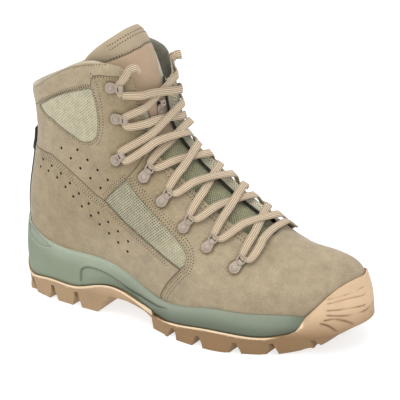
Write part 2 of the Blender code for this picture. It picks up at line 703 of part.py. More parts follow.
# ------------------------------------------------------------------- rings and hooks
# Where each fitting is riveted in side view, the way it points up from level, and how
# far it is packed out where the leather under it is hollow.
Fitting = namedtuple("Fitting", "name kind x z aim lift")
FITTINGS = [
    Fitting("1", "ring", 210.2, 64.2, 60, 0), Fitting("2", "ring", 185.9, 76, 61, 0),
    Fitting("3", "ring", 165.4, 88.4, 59, 0), Fitting("4", "ring", 145.2, 105, 57, 0),
    Fitting("5", "ring", 128.2, 121.4, 54, 0.45), Fitting("1", "hook", 106.1, 133.2, 37, 0),
    Fitting("2", "hook", 107.1, 166.1, 5, 0), Fitting("3", "hook", 103.4, 190.2, 3, 0),
]
PLATE_THICK = 1.1
PLATE_LIFT = 0.7        # the plate's underside stands this far off the leather
PLATE_TURNS = 6         # steps round the plate's back
PLATE_RADIUS = 4.4
RIVET_RADIUS = 2.9
RIVET_CROWN = 1.9       # radius of the flat on the rivet's head
RIVET_STEP = 0.35       # the head's edge stands this far on the plate
RIVET_DOME = 0.9
RIVET_SIDES = 8
TIP_HALF = 2.7          # half the width of the plate's end
STRIP_HALF = 2.55       # half the width of the folded end
TUNNEL_END = 10.0       # the folded end reaches this far from the rivet
TUNNEL_HIGH = 4.6
STRIP_THICK = 1.0
STRIP_TURNS = 5         # steps round the fold
STRIP_REACH = {"ring": 215, "hook": 150}    # how far it folds over, in degrees
STRIP_TAIL = 2.2        # the strip starts this far before the fold, inside the plate
LACE_TURN = 13.8        # the lace turns this far from the rivet


def plate_mesh():
    """A drop-shaped plate about its rivet, pointing along its own x."""
    outline = []
    for k in range(PLATE_TURNS + 1):
        turn = math.radians(90 + 180 * k / PLATE_TURNS)
        outline.append((PLATE_RADIUS * math.cos(turn), PLATE_RADIUS * math.sin(turn)))
    tip = TUNNEL_END - TUNNEL_HIGH / 2
    outline += [(tip, -TIP_HALF), (tip, TIP_HALF)]
    low = [(u, v, PLATE_LIFT) for u, v in outline]
    high = [(u, v, PLATE_LIFT + PLATE_THICK) for u, v in outline]
    return [low, high]


def dome_rings():
    """The rivet's head: a low stepped dome on the plate."""
    base = PLATE_LIFT + PLATE_THICK
    turns = [2 * math.pi * k / RIVET_SIDES for k in range(RIVET_SIDES)]
    rings = []
    for radius, height in (
        (RIVET_RADIUS, PLATE_LIFT + PLATE_THICK / 2),
        (RIVET_RADIUS, base + RIVET_STEP),
        (RIVET_CROWN, base + RIVET_DOME),
    ):
        rings.append([(radius * math.cos(t), radius * math.sin(t), height) for t in turns])
    return rings


def strip_profile(kind):
    """Side view of the folded strip: out of the plate, up, and back over itself."""
    base = PLATE_LIFT
    high = TUNNEL_HIGH / 2
    middle = (TUNNEL_END - high, base + high)
    turns = [math.radians(-90 + STRIP_REACH[kind] * k / STRIP_TURNS) for k in range(STRIP_TURNS + 1)]
    outer = [(middle[0] + high * math.cos(t), middle[1] + high * math.sin(t)) for t in turns]
    thin = high - STRIP_THICK
    inner = [(middle[0] + thin * math.cos(t), middle[1] + thin * math.sin(t)) for t in turns]
    tail = (middle[0] - STRIP_TAIL, base)
    return [tail] + outer + inner[::-1] + [(tail[0], base + STRIP_THICK)]


def fitting_mesh(kind):
    """Plate, rivet head and folded end as one solid, in its own millimetres."""
    profile = strip_profile(kind)
    strip = [[(u, v, w) for u, w in profile] for v in (-STRIP_HALF, STRIP_HALF)]
    origin = np.array([CENTRE_X, CENTRE_Y, 0])
    rings = dome_rings()
    last = (len(rings) - 1) * RIVET_SIDES
    dome_faces = ring_faces(len(rings), RIVET_SIDES)
    dome_faces += [tuple(range(RIVET_SIDES))[::-1], tuple(range(last, last + RIVET_SIDES))]
    parts = [
        (kind + "_plate", np.array(sum(plate_mesh(), [])), prism_faces(len(plate_mesh()[0]))),
        (kind + "_rivet", np.array(sum(rings, [])), dome_faces),
        (kind + "_strip", np.array(sum(strip, [])), prism_faces(len(profile))),
    ]
    things = [
        add_object(name, mesh_of(name, points + origin, faces, smooth=False), "painted_metal", cutters)
        for name, points, faces in parts
    ]
    cut(things[0], things[1:], "UNION")
    mesh = evaluated(things[0], kind)
    for thing in things[1:]:
        bpy.data.objects.remove(thing, do_unlink=True)
    return mesh


def nearest_skin(x, z, side):
    """Column and level of the wall point that side view shows at x, z."""
    half = range(0, SIDE_COUNT) if side < 0 else [0] + list(range(COLUMN_COUNT - 1, SIDE_COUNT - 2, -1))
    columns_here = np.array(list(half))
    gap = (FIELD[columns_here, :, 0] - x) ** 2 + (FIELD[columns_here, :, 2] - z) ** 2
    best = np.unravel_index(np.argmin(gap), gap.shape)
    return columns_here[best[0]], best[1]


def skin_frame(x, z, aim, side):
    """Point, forward direction, sideways direction and outward normal on the wall."""
    i, k = nearest_skin(x, z, side)
    normal = NORMALS[i, k]
    flat = np.array([math.cos(math.radians(aim)), 0, math.sin(math.radians(aim))])
    point = FIELD[i, k] + (x - FIELD[i, k, 0], 0, z - FIELD[i, k, 2])
    point -= normal * np.dot(point - FIELD[i, k], normal)
    ahead = flat - normal * np.dot(flat, normal)
    ahead /= np.linalg.norm(ahead)
    return point, ahead, np.cross(normal, ahead), normal


def place(mesh, name, frame):
    point, ahead, aside, normal = frame
    made = mesh.copy()
    made.name = name
    matrix = Matrix([[*row] for row in np.column_stack([ahead, aside, normal])]).to_4x4()
    matrix.translation = Vector(world(point)[0])
    made.transform(matrix)
    return add_object(name, made, "painted_metal")


SHAPES = {kind: fitting_mesh(kind) for kind in ("ring", "hook")}
SIDES = {"outer": -1, "inner": 1}
for side_name, side in SIDES.items():
    for row in FITTINGS:
        point, ahead, aside, normal = skin_frame(row.x, row.z, row.aim, side)
        frame = (point + normal * row.lift, ahead, aside, normal)
        place(SHAPES[row.kind], f"{row.kind}_{side_name}_{row.name}", frame)

TONGUE_HOOK_Z = 161.5   # height of the rivet of the tongue's own lace keeper
TONGUE_HOOK_LIFT = 0.3


def tongue_front(z):
    """Middle of the tongue's outer face at height z, its run upwards and its front."""
    where = np.linspace(0, 1, 400)
    here, run = tongue_at(where)
    k = int(np.argmin(np.abs(here[:, 1] - z)))
    up = np.array([run[k, 0], 0, run[k, 1]])
    return np.array([here[k, 0], 0, here[k, 1]]), up, np.array([run[k, 1], 0, -run[k, 0]])


keeper_at, keeper_up, keeper_front = tongue_front(TONGUE_HOOK_Z)
keeper_aside = np.cross(keeper_front, keeper_up)
keeper_seat = keeper_at + keeper_front * TONGUE_HOOK_LIFT
place(SHAPES["hook"], "tongue_hook", (keeper_seat, keeper_up, keeper_aside, keeper_front))


# --------------------------------------------------------------------------------- lace
# The lace's bars, each from one turn to the next in the order it is threaded. A turn is
# named for its side and its place up the boot, o1 to o8 and i1 to i8; "over" bars pass
# in front of the others where they cross.
Bar = namedtuple("Bar", "start end over")
BARS = [
    Bar("i8", "o7", 0), Bar("o7", "i6", 0), Bar("i6", "o5", 0), Bar("o5", "i4", 0), Bar("i4", "o3", 0),
    Bar("o3", "i2", 0), Bar("i2", "o1", 0), Bar("o1", "i1", 0), Bar("i1", "o2", 1), Bar("o2", "i3", 1),
    Bar("i3", "o4", 1), Bar("o4", "i5", 1), Bar("i5", "o6", 1), Bar("o6", "i7", 1), Bar("i7", "o8", 1),
]
BAR_STEPS = 28          # steps along a bar
BAR_PAST = 1.3          # a bar runs this far past its turn, into the next one
TURN_LIFT = 1.7         # the turns stand off further, level with the rings' ends
LACE_CLEAR = 1.8        # the lace stays this far off leather and tongue
CROSS_CLEAR = 0.6       # gap between the two bars of a crossing
PROBE = 60.0            # the ground is looked for from this far in front
THIN_WITHIN = 0.45      # a bar's points keep its line within this
CLEAR_ROUNDS = 12       # rounds of moving a bar off the leather
CLEAR_STEP = 0.7        # share of the missing gap that a round makes up
CROSS_ROUND = 0.6       # below 1, a bar rises early towards a crossing and stays up
TWIST_REACH = 14.0      # the ribbon turns to lie on the leather over this length


def lace_ground():
    """What the lace lies on: the upper's and the tongue's outer faces, in boot mm."""
    levels = NET.shape[1]
    points = [tuple(point) for point in NET.transpose(1, 0, 2).reshape(-1, 3)]
    faces = ring_faces(levels, COLUMN_COUNT)
    mesh = bpy.data.objects["tongue"].data
    start = len(points)
    points += [tuple(np.array(v.co) / MM + (CENTRE_X, CENTRE_Y, 0)) for v in mesh.vertices]
    faces += [tuple(start + k for k in face.vertices) for face in mesh.polygons]
    return BVHTree.FromPolygons(points, faces)


GROUND = lace_ground()


def turn_point(label):
    """The middle of the lace where it turns past its ring or hook, and its outward face."""
    side = -1 if label[0] == "o" else 1
    row = FITTINGS[int(label[1]) - 1]
    point, ahead, _, normal = skin_frame(row.x, row.z, row.aim, side)
    hit, face_normal, _, _ = GROUND.find_nearest(Vector(point + ahead * LACE_TURN))
    facing = np.array(face_normal)
    facing = facing if np.dot(facing, normal) > 0 else -facing
    return np.array(hit) + facing * (LACE_CLEAR + LACE_THICK / 2 + TURN_LIFT), facing


def taut(at, heights):
    """Which heights a line stretched over all of them would touch."""
    keep = [0]
    for k in range(1, len(at)):
        while len(keep) > 1:
            a, b = keep[-2], keep[-1]
            if (heights[b] - heights[a]) * (at[k] - at[a]) > (heights[k] - heights[a]) * (at[b] - at[a]):
                break
            keep.pop()
        keep.append(k)
    return keep


def surface_rise(point, front):
    """How far the ground stands above a point, or nothing where it lies below."""
    hit, _, _, _ = GROUND.ray_cast(Vector(point + front * PROBE), Vector(-front))
    return 0.0 if hit is None else max(0.0, np.dot(np.array(hit) - point, front))


def thinned(line):
    """The fewest points that keep a line within THIN_WITHIN of itself."""
    keep = [0, len(line) - 1]
    while True:
        worst, where = THIN_WITHIN, None
        for a, b in zip(keep[:-1], keep[1:]):
            run = line[b] - line[a]
            for k in range(a + 1, b):
                share = np.dot(line[k] - line[a], run) / np.dot(run, run)
                off = np.linalg.norm(line[a] + run * share - line[k])
                if off > worst:
                    worst, where = off, k
        if where is None:
            return keep
        keep = sorted(keep + [where])


def pushed(points, facing, aside):
    """Points moved outwards until the ribbon's width is clear of what it lies on."""
    need = LACE_CLEAR + LACE_THICK / 2
    points = points.copy()
    for _ in range(CLEAR_ROUNDS):
        for k, point in enumerate(points):
            short = 0.0
            for shift in (-0.5, -0.25, 0, 0.25, 0.5):
                at = Vector(point + aside[k] * shift * LACE_WIDE)
                hit, _, _, _ = GROUND.find_nearest(at)
                away = np.array(at - hit)
                inside = np.dot(away, facing[k]) < 0
                gap = np.linalg.norm(away) * (-1 if inside else 1)
                short = max(short, need - gap)
            points[k] += facing[k] * short * CLEAR_STEP
    return points


def bar_line(bar):
    """Middle line of a bar and the direction that its face takes at each point."""
    (start, start_face), (end, end_face) = turn_point(bar.start), turn_point(bar.end)
    length = np.linalg.norm(end - start)
    run = (end - start) / length
    front = tongue_front((start[2] + end[2]) / 2)[2]
    front = front - run * np.dot(front, run)
    front /= np.linalg.norm(front)
    at = np.linspace(0, 1, BAR_STEPS + 1)
    near = np.clip(1 - np.minimum(at, 1 - at) * length / TWIST_REACH, 0, 1)[:, None]
    side_face = np.where((at < 0.5)[:, None], start_face, end_face)
    facing = (1 - near) * front + near * side_face
    facing -= run * (facing @ run)[:, None]
    facing /= np.linalg.norm(facing, axis=1, keepdims=True)
    chord = start + (end - start) * at[:, None]
    raised = np.array([point + front * surface_rise(point, front) for point in chord])
    clear = pushed(raised, facing, np.cross(facing, run))
    high = (clear - chord) @ front
    touched = taut(at, high)
    level = np.interp(at, at[touched], high[touched])
    lift = bar.over * (LACE_THICK + CROSS_CLEAR) * np.sin(np.pi * at) ** CROSS_ROUND
    line = clear + (level - high + lift)[:, None] * front
    keep = thinned(line)
    points = line[keep]
    first, last = points[0] - points[1], points[-1] - points[-2]
    points[0] += first / np.linalg.norm(first) * BAR_PAST
    points[-1] += last / np.linalg.norm(last) * BAR_PAST
    return points, facing[keep]


def ribbon(name, points, facing, collection=boot):
    """A flat closed ribbon along points, its face turned to facing."""
    run = np.gradient(points, axis=0)
    run /= np.linalg.norm(run, axis=1, keepdims=True)
    wide = np.cross(np.broadcast_to(facing, run.shape), run)
    wide /= np.linalg.norm(wide, axis=1, keepdims=True)
    face = np.cross(run, wide)
    corners = []
    for a, b in ((-1, -1), (1, -1), (1, 1), (-1, 1)):
        corners.append(points + wide * (a * LACE_WIDE / 2) + face * (b * LACE_THICK / 2))
    rings = np.stack(corners, axis=1)
    count = len(points)
    faces = ring_faces(count, 4) + [(0, 1, 2, 3), tuple(4 * (count - 1) + k for k in (3, 2, 1, 0))]
    mesh = mesh_of(name, rings.reshape(-1, 3), faces, smooth=False)
    return add_object(name, mesh, "lace_weave", collection)


def make_crossings():
    bars = [ribbon(f"bar_{k}", *bar_line(bar), cutters) for k, bar in enumerate(BARS)]
    cut(bars[0], bars[1:], "UNION")
    mesh = evaluated(bars[0], "lace_crossings")
    for bar in bars[1:]:
        bpy.data.objects.remove(bar, do_unlink=True)
    add_object("lace_crossings", mesh, "lace_weave")


make_crossings()

# The two free ends, from the last turn of each side: the outer one curls over the
# collar's corner on to the tongue, the inner one is tucked in beside the tongue.
End = namedtuple("End", "x y z")
LACE_ENDS = {
    "outer": [End(117.4, -34.1, 200.8), End(119.4, -31, 205.4), End(122.2, -27.4, 206.2), End(123.6, -23.6, 201.6)],
    "inner": [End(124.6, 31.4, 196.6), End(126, 27.8, 201), End(124.4, 24.8, 202), End(122, 23.2, 198)],
}
END_FACE = (0.9, 0.25, 0.35)    # the way their flat faces look at the tip
END_GAP = 3.4           # between a free end and the turn that it leaves
for side_name, side in SIDES.items():
    turn, turn_face = turn_point(side_name[0] + "8")
    stub = np.array(LACE_ENDS[side_name])
    leave = (stub[0] - turn) / np.linalg.norm(stub[0] - turn)
    first = turn + leave * (LACE_WIDE / 2 + BAR_PAST / 2 + END_GAP)
    line = np.vstack([first, stub])
    share = np.linspace(0, 1, len(line))[:, None]
    facing = (1 - share) * turn_face + share * np.array(END_FACE) * (1, side, 1)
    ribbon("lace_end_" + side_name, line, facing)
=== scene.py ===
"""Looks of the hiking boot, for the right foot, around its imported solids.

Lengths with no unit are the boot's own millimetres: x runs from the heel to the toe,
y to the inner side of the foot, z up from the floor.
"""
import math

import bmesh
import bpy
import numpy as np
from mathutils import Matrix, Vector
from mathutils.bvhtree import BVHTree


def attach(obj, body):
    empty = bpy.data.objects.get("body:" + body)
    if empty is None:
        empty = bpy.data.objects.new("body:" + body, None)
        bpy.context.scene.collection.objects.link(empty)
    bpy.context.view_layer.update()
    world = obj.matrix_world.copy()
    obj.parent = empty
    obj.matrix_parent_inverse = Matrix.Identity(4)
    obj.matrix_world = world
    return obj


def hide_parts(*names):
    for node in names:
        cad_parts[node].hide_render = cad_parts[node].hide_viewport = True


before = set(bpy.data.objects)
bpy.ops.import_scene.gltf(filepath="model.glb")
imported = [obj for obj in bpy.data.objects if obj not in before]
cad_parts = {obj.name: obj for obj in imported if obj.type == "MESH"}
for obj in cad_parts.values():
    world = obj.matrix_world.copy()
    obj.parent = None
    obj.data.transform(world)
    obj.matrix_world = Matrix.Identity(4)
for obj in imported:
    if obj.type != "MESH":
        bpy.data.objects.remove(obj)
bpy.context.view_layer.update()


# ------------------------------------------------------------ floor, camera and light
# The boot stands on a pale studio floor under large soft lamps. The camera looks down on
# the outer side from in front through a long lens, slightly rolled.
MM = 0.001
HEEL = np.array((-145.43, 0.486, 0))      # the boot's own origin in the frame, in mm
CAMERA_TURN = math.radians(33.5)
CAMERA_RISE = math.radians(22.3)
CAMERA_ROLL = math.radians(-3.0)
CAMERA_AT = (868.24, -1076.4, 624.36)
CAMERA_LENS = 162.2
CAMERA_SENSOR = 36
CAMERA_SEES = (0.1, 20)                   # metres, from the nearest to the furthest
FLOOR_SIZE = 7
FLOOR_COLOUR = (0.40, 0.40, 0.40, 1)
FLOOR_GLOW = 0.72
SKY_COLOUR = (0.95, 0.97, 1.0, 1)
SKY_STRENGTH = 0.72
LAMPS_LOOK_AT = Vector((0, 0, 0.08))
# Each lamp's place in metres, its size and its watts.
LAMPS = {
    "lamp_over": ((0.15, -0.35, 1.5), 1.3, 14),
    "lamp_front": ((1.2, -1.0, 0.8), 1.0, 4.5),
    "lamp_heel": ((-1.2, -1.1, 0.9), 1.0, 4.2),
    "lamp_behind": ((-0.3, 1.3, 1.2), 1.0, 3.5),
}


def metres(points):
    """Boot millimetres to metres in the frame."""
    return (np.asarray(points, float) + HEEL) * MM


def boot_mm(points):
    """Metres in the frame to boot millimetres."""
    return np.asarray(points, float) / MM - HEEL


def add_object(name, data):
    """A new object in the scene."""
    made = bpy.data.objects.new(name, data)
    bpy.context.scene.collection.objects.link(made)
    return made


class Nodes:
    """Short ways to add nodes to a material or group; a value is plain or an output."""

    def __init__(self, tree, place=None):
        self.tree = tree
        self.place = place or self.add("TexCoord").outputs["Object"]

    def feed(self, node, key, value):
        """Gives an input its value, or joins another node's output to it."""
        if isinstance(value, bpy.types.NodeSocket):
            self.tree.links.new(value, node.inputs[key])
        else:
            node.inputs[key].default_value = value

    def add(self, kind, settings=None, **inputs):
        """A node. An input goes by its name with _ for spaces, or by number as i0."""
        node = self.tree.nodes.new("ShaderNode" + kind)
        for name, value in (settings or {}).items():
            setattr(node, name, value)
        for name, value in inputs.items():
            self.feed(node, int(name[1:]) if name[1:].isdigit() else name.replace("_", " "), value)
        return node

    def math(self, operation, *values):
        numbered = {f"i{k}": value for k, value in enumerate(values)}
        return self.add("Math", {"operation": operation}, **numbered).outputs[0]

    def span(self, value, low, high, start=0.0, end=1.0):
        """A value moved from between low and high to between start and end."""
        ends = {"From_Min": low, "From_Max": high, "To_Min": start, "To_Max": end}
        return self.add("MapRange", Value=value, **ends).outputs[0]

    def mix(self, share, first, second):
        """The first colour at share 0 and the second at 1."""
        return self.add("Mix", {"data_type": "RGBA"}, i0=share, i6=first, i7=second).outputs[2]

    def blend(self, share, first, second):
        """The first number at share 0 and the second at 1."""
        return self.add("Mix", {"data_type": "FLOAT"}, i0=share, i2=first, i3=second).outputs[0]

    def toned(self, colour, value, saturation=1.0):
        """A colour made lighter or darker, and richer or duller."""
        return self.add("HueSaturation", Color=colour, Value=value, Saturation=saturation).outputs[0]

    def noise(self, scale, detail=2.0, rough=0.5):
        inputs = {"Vector": self.place, "Scale": scale, "Detail": detail, "Roughness": rough}
        return self.add("TexNoise", **inputs).outputs["Fac"]

    def kept(self, name):
        """A value kept on the mesh's corners."""
        return self.add("Attribute", {"attribute_name": name}).outputs["Fac"]

    def dress(self, colour, height=None, strength=0.0, distance=0.0):
        """Gives the material its colour and its bumps, at most a distance in metres deep."""
        self.feed(self.shader, "Base Color", colour)
        if height is not None:
            bump = self.add("Bump", Height=height, Strength=strength, Distance=distance)
            self.feed(self.shader, "Normal", bump.outputs["Normal"])


def new_finish(name, **values):
    """A material with plain values on its Principled shader, and its nodes."""
    made = bpy.data.materials.new(name)
    made.use_nodes = True
    nodes = Nodes(made.node_tree)
    nodes.shader = made.node_tree.nodes["Principled BSDF"]
    for key, value in values.items():
        nodes.feed(nodes.shader, key.replace("_", " "), value)
    return made, nodes


def studio():
    """The camera, the floor, four lamps and an even sky."""
    camera = add_object("camera", bpy.data.cameras.new("camera"))
    turned = Matrix.Rotation(CAMERA_TURN, 4, "Z") @ Matrix.Rotation(math.pi / 2 - CAMERA_RISE, 4, "X")
    place = Matrix.Translation(metres(CAMERA_AT))
    camera.matrix_world = place @ turned @ Matrix.Rotation(CAMERA_ROLL, 4, "Z")
    camera.data.lens = CAMERA_LENS
    camera.data.sensor_width = CAMERA_SENSOR
    camera.data.clip_start, camera.data.clip_end = CAMERA_SEES
    bpy.context.scene.camera = camera

    bpy.ops.object.select_all(action="DESELECT")
    bpy.ops.mesh.primitive_plane_add(size=FLOOR_SIZE)
    floor = bpy.context.object
    floor.name = "floor"
    finish, _ = new_finish(
        "studio_floor", Base_Color=FLOOR_COLOUR, Roughness=1.0,
        Emission_Color=(1, 1, 1, 1), Emission_Strength=FLOOR_GLOW,
    )
    floor.data.materials.append(finish)

    for name, (spot, size, watts) in LAMPS.items():
        lamp = add_object(name, bpy.data.lights.new(name, "AREA"))
        lamp.data.size = size
        lamp.data.energy = watts
        lamp.location = spot
        lamp.rotation_mode = "QUATERNION"
        lamp.rotation_quaternion = (LAMPS_LOOK_AT - Vector(spot)).to_track_quat("-Z", "Y")
    sky = bpy.data.worlds.new("sky")
    bpy.context.scene.world = sky
    sky.use_nodes = True
    light = sky.node_tree.nodes["Background"]
    light.inputs["Color"].default_value = SKY_COLOUR
    light.inputs["Strength"].default_value = SKY_STRENGTH
    bpy.context.scene.view_settings.view_transform = "Standard"


studio()


# ------------------------------------------------------------------------ free lace ends
# The lace is a flat woven cord with ribs along it, cut short: each free end leaves the
# top hook and is a few centimetres long. Both ends lie along their solids.
LACE_WIDE = 6.4
LACE_THICK = 1.7
LACE_COLOUR = (0.68, 0.54, 0.375, 1)
LACE_SHADE = (0.23, 0.165, 0.10, 1)
LACE_RIB = 1.45         # from rib to rib across it
LACE_RIB_HIGH = 0.13    # as a share of half its thickness
LACE_RIBS_END = 0.93    # there are none beyond this share of half its width
LACE_ROUND = (0.75, 0.5)            # powers that square its section off, across and thick
LACE_PICK = 0.75        # from pick to pick along it
LACE_SIDES = 28         # corners of its section
LACE_STEP = 0.9         # from one section to the next
LACE_CLEAR = 1.8        # it runs this far off leather and tongue, as its solid does
TURN_LIFT = 1.7         # and this much further where it turns at a ring
LACE_TURN = 13.8        # its solid turns this far from the rivet
RIVET_BACK = 4.4        # from the rivet's middle to the back of its plate
PLATE_LIFT = 0.7        # the plate's underside stands this far off the leather
PROBE = 60.0            # rays start this far off
# Where the lace is held: how far from the rivet, how far off the leather, how wide it is
# there, and how far aside it is just beyond the seat and further out.
SEAT_AT = {"ring": 9.4, "hook": 7.4}
SEAT_HIGH = {"ring": 2.1, "hook": 2.9}
SEAT_WIDE = {"ring": 3.4, "hook": 4.4}
SEAT_SPREAD = {"ring": (1.5, 4.6), "hook": (3.2, 5.2)}
# Just beyond the seat and further out, the lace lies this much further ahead and higher.
SEAT_BEND, SEAT_BESIDE = (0.5, 0.1), (2.6, 0.4)
TAIL_WIDTHS = [(0, 4.4), (4, 5.2), (9, LACE_WIDE)]      # at distances from an end's seat
# Each free end's last points, from where it leaves its turn to where it is cut.
TAILS = {
    "outer": [(117.4, -34.1, 200.8), (119.4, -31, 205.4), (122.2, -27.4, 206.2), (123.6, -23.6, 201.6)],
    "inner": [
        (119.4, 33.8, 197.8), (124, 31.2, 199.4), (125.4, 27.6, 201.4), (123.8, 24.4, 201.2),
        (121.8, 22.8, 198),
    ],
}
TAIL_FACE = np.array((0.9, 0.25, 0.35))     # the way a cut end's flat side looks


def unit(vectors):
    """A vector, or each row of vectors, at length one."""
    vectors = np.asarray(vectors, float)
    return vectors / np.maximum(np.linalg.norm(vectors, axis=-1, keepdims=True), 1e-12)


def run_along(points):
    """How far along a line each of its points is."""
    return np.concatenate([[0], np.cumsum(np.linalg.norm(np.diff(points, axis=0), axis=1))])


def between(at, along, rows):
    """Rows read at places between them."""
    return np.column_stack([np.interp(at, along, column) for column in rows.T])


def read_table(table, at):
    """Values at places in a table of places and values, straight from row to row."""
    rows = np.array(table, float)
    return np.interp(at, rows[:, 0], rows[:, 1])


def cad(*nodes):
    """The meshes of CAD nodes."""
    return [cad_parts[node].data for node in nodes]


def corners_of(mesh, kind="co"):
    """A mesh's corners as it holds them, or the normals there."""
    values = np.zeros(len(mesh.vertices) * 3, np.float32)
    mesh.vertices.foreach_get(kind, values)
    return values.reshape(-1, 3).astype(float)


def points_and_faces(meshes):
    """Corners in boot mm and faces of meshes, as one list."""
    points, faces = np.zeros((0, 3)), []
    for mesh in meshes:
        faces += [tuple(len(points) + k for k in face.vertices) for face in mesh.polygons]
        points = np.vstack([points, boot_mm(corners_of(mesh))])
    return points, faces


def tree_of(*meshes):
    """Meshes as one surface, in boot mm, to look up points and cast rays on."""
    points, faces = points_and_faces(meshes)
    return BVHTree.FromPolygons([tuple(p) for p in points], faces)


def distances(tree, points):
    """How far each point is from a surface."""
    return np.array([tree.find_nearest(Vector(point))[3] for point in points])


GROUND = tree_of(*cad("upper", "tongue"))


def fitting_frame(node):
    """Foot of a fitting's rivet on the leather, and its directions ahead, aside and out.

    The plate's underside is the widest level face of its solid, the plate's back is the
    corner furthest from the fold, and the fold's top lies over the middle line.
    """
    points, faces = points_and_faces(cad(node))
    corners = points[np.array([face[:3] for face in faces])]
    cross = np.cross(corners[:, 1] - corners[:, 0], corners[:, 2] - corners[:, 0])
    area = np.linalg.norm(cross, axis=1) / 2
    normals = cross / np.maximum(2 * area, 1e-9)[:, None]
    out = -normals[int(np.argmax((normals @ normals.T > 0.9995) @ area))]
    high = points @ out
    under = points[high < high.min() + 0.05]
    top = np.unique(np.round(points[high > high.max() - 0.02], 3), axis=0).mean(axis=0)
    back = under[int(np.argmax(np.linalg.norm(under - top, axis=1)))]
    ahead = unit(top - back - out * np.dot(top - back, out))
    return back + ahead * RIVET_BACK - out * PLATE_LIFT, ahead, np.cross(out, ahead), out


METALWORK = [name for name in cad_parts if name.startswith(("ring_", "hook_", "tongue_hook"))]
FITTINGS = {name: fitting_frame(name) for name in METALWORK}


def kind_of(label):
    """What holds a turn. On the outer side, turns o1 to o5 are rings and o6 to o8 hooks."""
    return "ring" if int(label[1:]) <= 5 else "hook"


def fitting_at(label):
    """The fitting at a turn: its foot, and its directions ahead, aside and out."""
    side = "outer" if label[0] == "o" else "inner"
    return FITTINGS[f"{kind_of(label)}_{side}_{(int(label[1:]) - 1) % 5 + 1}"]


def turn_point(label):
    """Middle of the lace's solid where it turns, and the way its flat side looks there."""
    foot, ahead, _, out = fitting_at(label)
    hit, face_normal, _, _ = GROUND.find_nearest(Vector(foot + ahead * LACE_TURN))
    facing = np.array(face_normal)
    facing = facing if np.dot(facing, out) > 0 else -facing
    return np.array(hit) + facing * (LACE_CLEAR + LACE_THICK / 2 + TURN_LIFT), facing


def spline(points, step):
    """Points at even steps on the smooth curve through points, and their old numbers."""
    points = np.asarray(points, float)
    ends = np.vstack([2 * points[0] - points[1], points, 2 * points[-1] - points[-2]])
    made, at = [], []
    for k in range(len(points) - 1):
        a, b, c, d = ends[k:k + 4]
        gaps = [max(np.linalg.norm(q - p), 1e-6) ** 0.5 for p, q in ((a, b), (b, c), (c, d))]
        knots = np.cumsum([0, *gaps])
        for t in np.linspace(0, 1, 24, endpoint=False):
            x = knots[1] + t * (knots[2] - knots[1])
            mix = lambda p, q, i, j: (p * (knots[j] - x) + q * (x - knots[i])) / (knots[j] - knots[i])
            ab, bc, cd = mix(a, b, 0, 1), mix(b, c, 1, 2), mix(c, d, 2, 3)
            made.append(mix(mix(ab, bc, 0, 2), mix(bc, cd, 1, 3), 1, 2))
            at.append(k + t)
    made, at = np.array([*made, points[-1]]), np.array([*at, len(points) - 1])
    run = run_along(made)
    where = np.linspace(0, run[-1], max(3, int(round(run[-1] / step)) + 1))
    return between(where, run, made), np.interp(where, run, at)


def build(name, points, faces):
    """A smooth object from corners in boot mm and faces."""
    mesh = bpy.data.meshes.new(name)
    mesh.from_pydata([tuple(p) for p in metres(points)], [], faces)
    mesh.shade_smooth()
    return add_object(name, mesh)


def face_outward(thing):
    """Turns a closed mesh's faces to look outwards."""
    shape = bmesh.new()
    shape.from_mesh(thing.data)
    bmesh.ops.recalc_face_normals(shape, faces=shape.faces)
    shape.to_mesh(thing.data)
    shape.free()


def lace_section():
    """The flat cord's section: across and thick from -1 to 1, with its ribs."""
    turn = 2 * np.pi * np.arange(LACE_SIDES) / LACE_SIDES
    across, thick = [
        np.sign(wave) * np.abs(wave) ** power
        for wave, power in zip((np.cos(turn), np.sin(turn)), LACE_ROUND)
    ]
    ribs = np.cos(2 * np.pi * across * LACE_WIDE / 2 / LACE_RIB) * (np.abs(across) < LACE_RIBS_END)
    return across, thick * (1 + LACE_RIB_HIGH * ribs)


def lace_mesh(name, line, facing, wide):
    """A closed ribbed cord along a line; its UV is millimetres across and along."""
    run = unit(np.gradient(line, axis=0))
    side = unit(np.cross(facing, run))
    across, high = lace_section()
    corners = (
        line[:, None]
        + side[:, None] * across[:, None] * wide[:, None, None] / 2
        + np.cross(run, side)[:, None] * high[:, None] * LACE_THICK / 2
    )
    count, sides = len(line), LACE_SIDES
    faces = [
        (k * sides + i, k * sides + (i + 1) % sides, (k + 1) * sides + (i + 1) % sides, (k + 1) * sides + i)
        for k in range(count - 1) for i in range(sides)
    ]
    faces += [tuple(range(sides))[::-1], tuple(range((count - 1) * sides, count * sides))]
    made = build(name, corners.reshape(-1, 3), faces)
    face_outward(made)
    length = run_along(line)
    uv = made.data.uv_layers.new(name="weave").data
    for loop in made.data.loops:
        ring, corner = divmod(loop.vertex_index, sides)
        uv[loop.index].uv = (across[corner] * LACE_WIDE / 2, length[ring])
    return made


def new_group(name, inputs, outputs):
    """A node group with inputs and their plain values, and outputs; its nodes and ends."""
    group = bpy.data.node_groups.new(name, "ShaderNodeTree")
    for label, (kind, value) in inputs.items():
        made = group.interface.new_socket(label, in_out="INPUT", socket_type="NodeSocket" + kind)
        if value is not None:
            made.default_value = value
    for label, kind in outputs.items():
        group.interface.new_socket(label, in_out="OUTPUT", socket_type="NodeSocket" + kind)
    start, end = group.nodes.new("NodeGroupInput"), group.nodes.new("NodeGroupOutput")
    return group, Nodes(group, start.outputs["Place"]), start.outputs, end


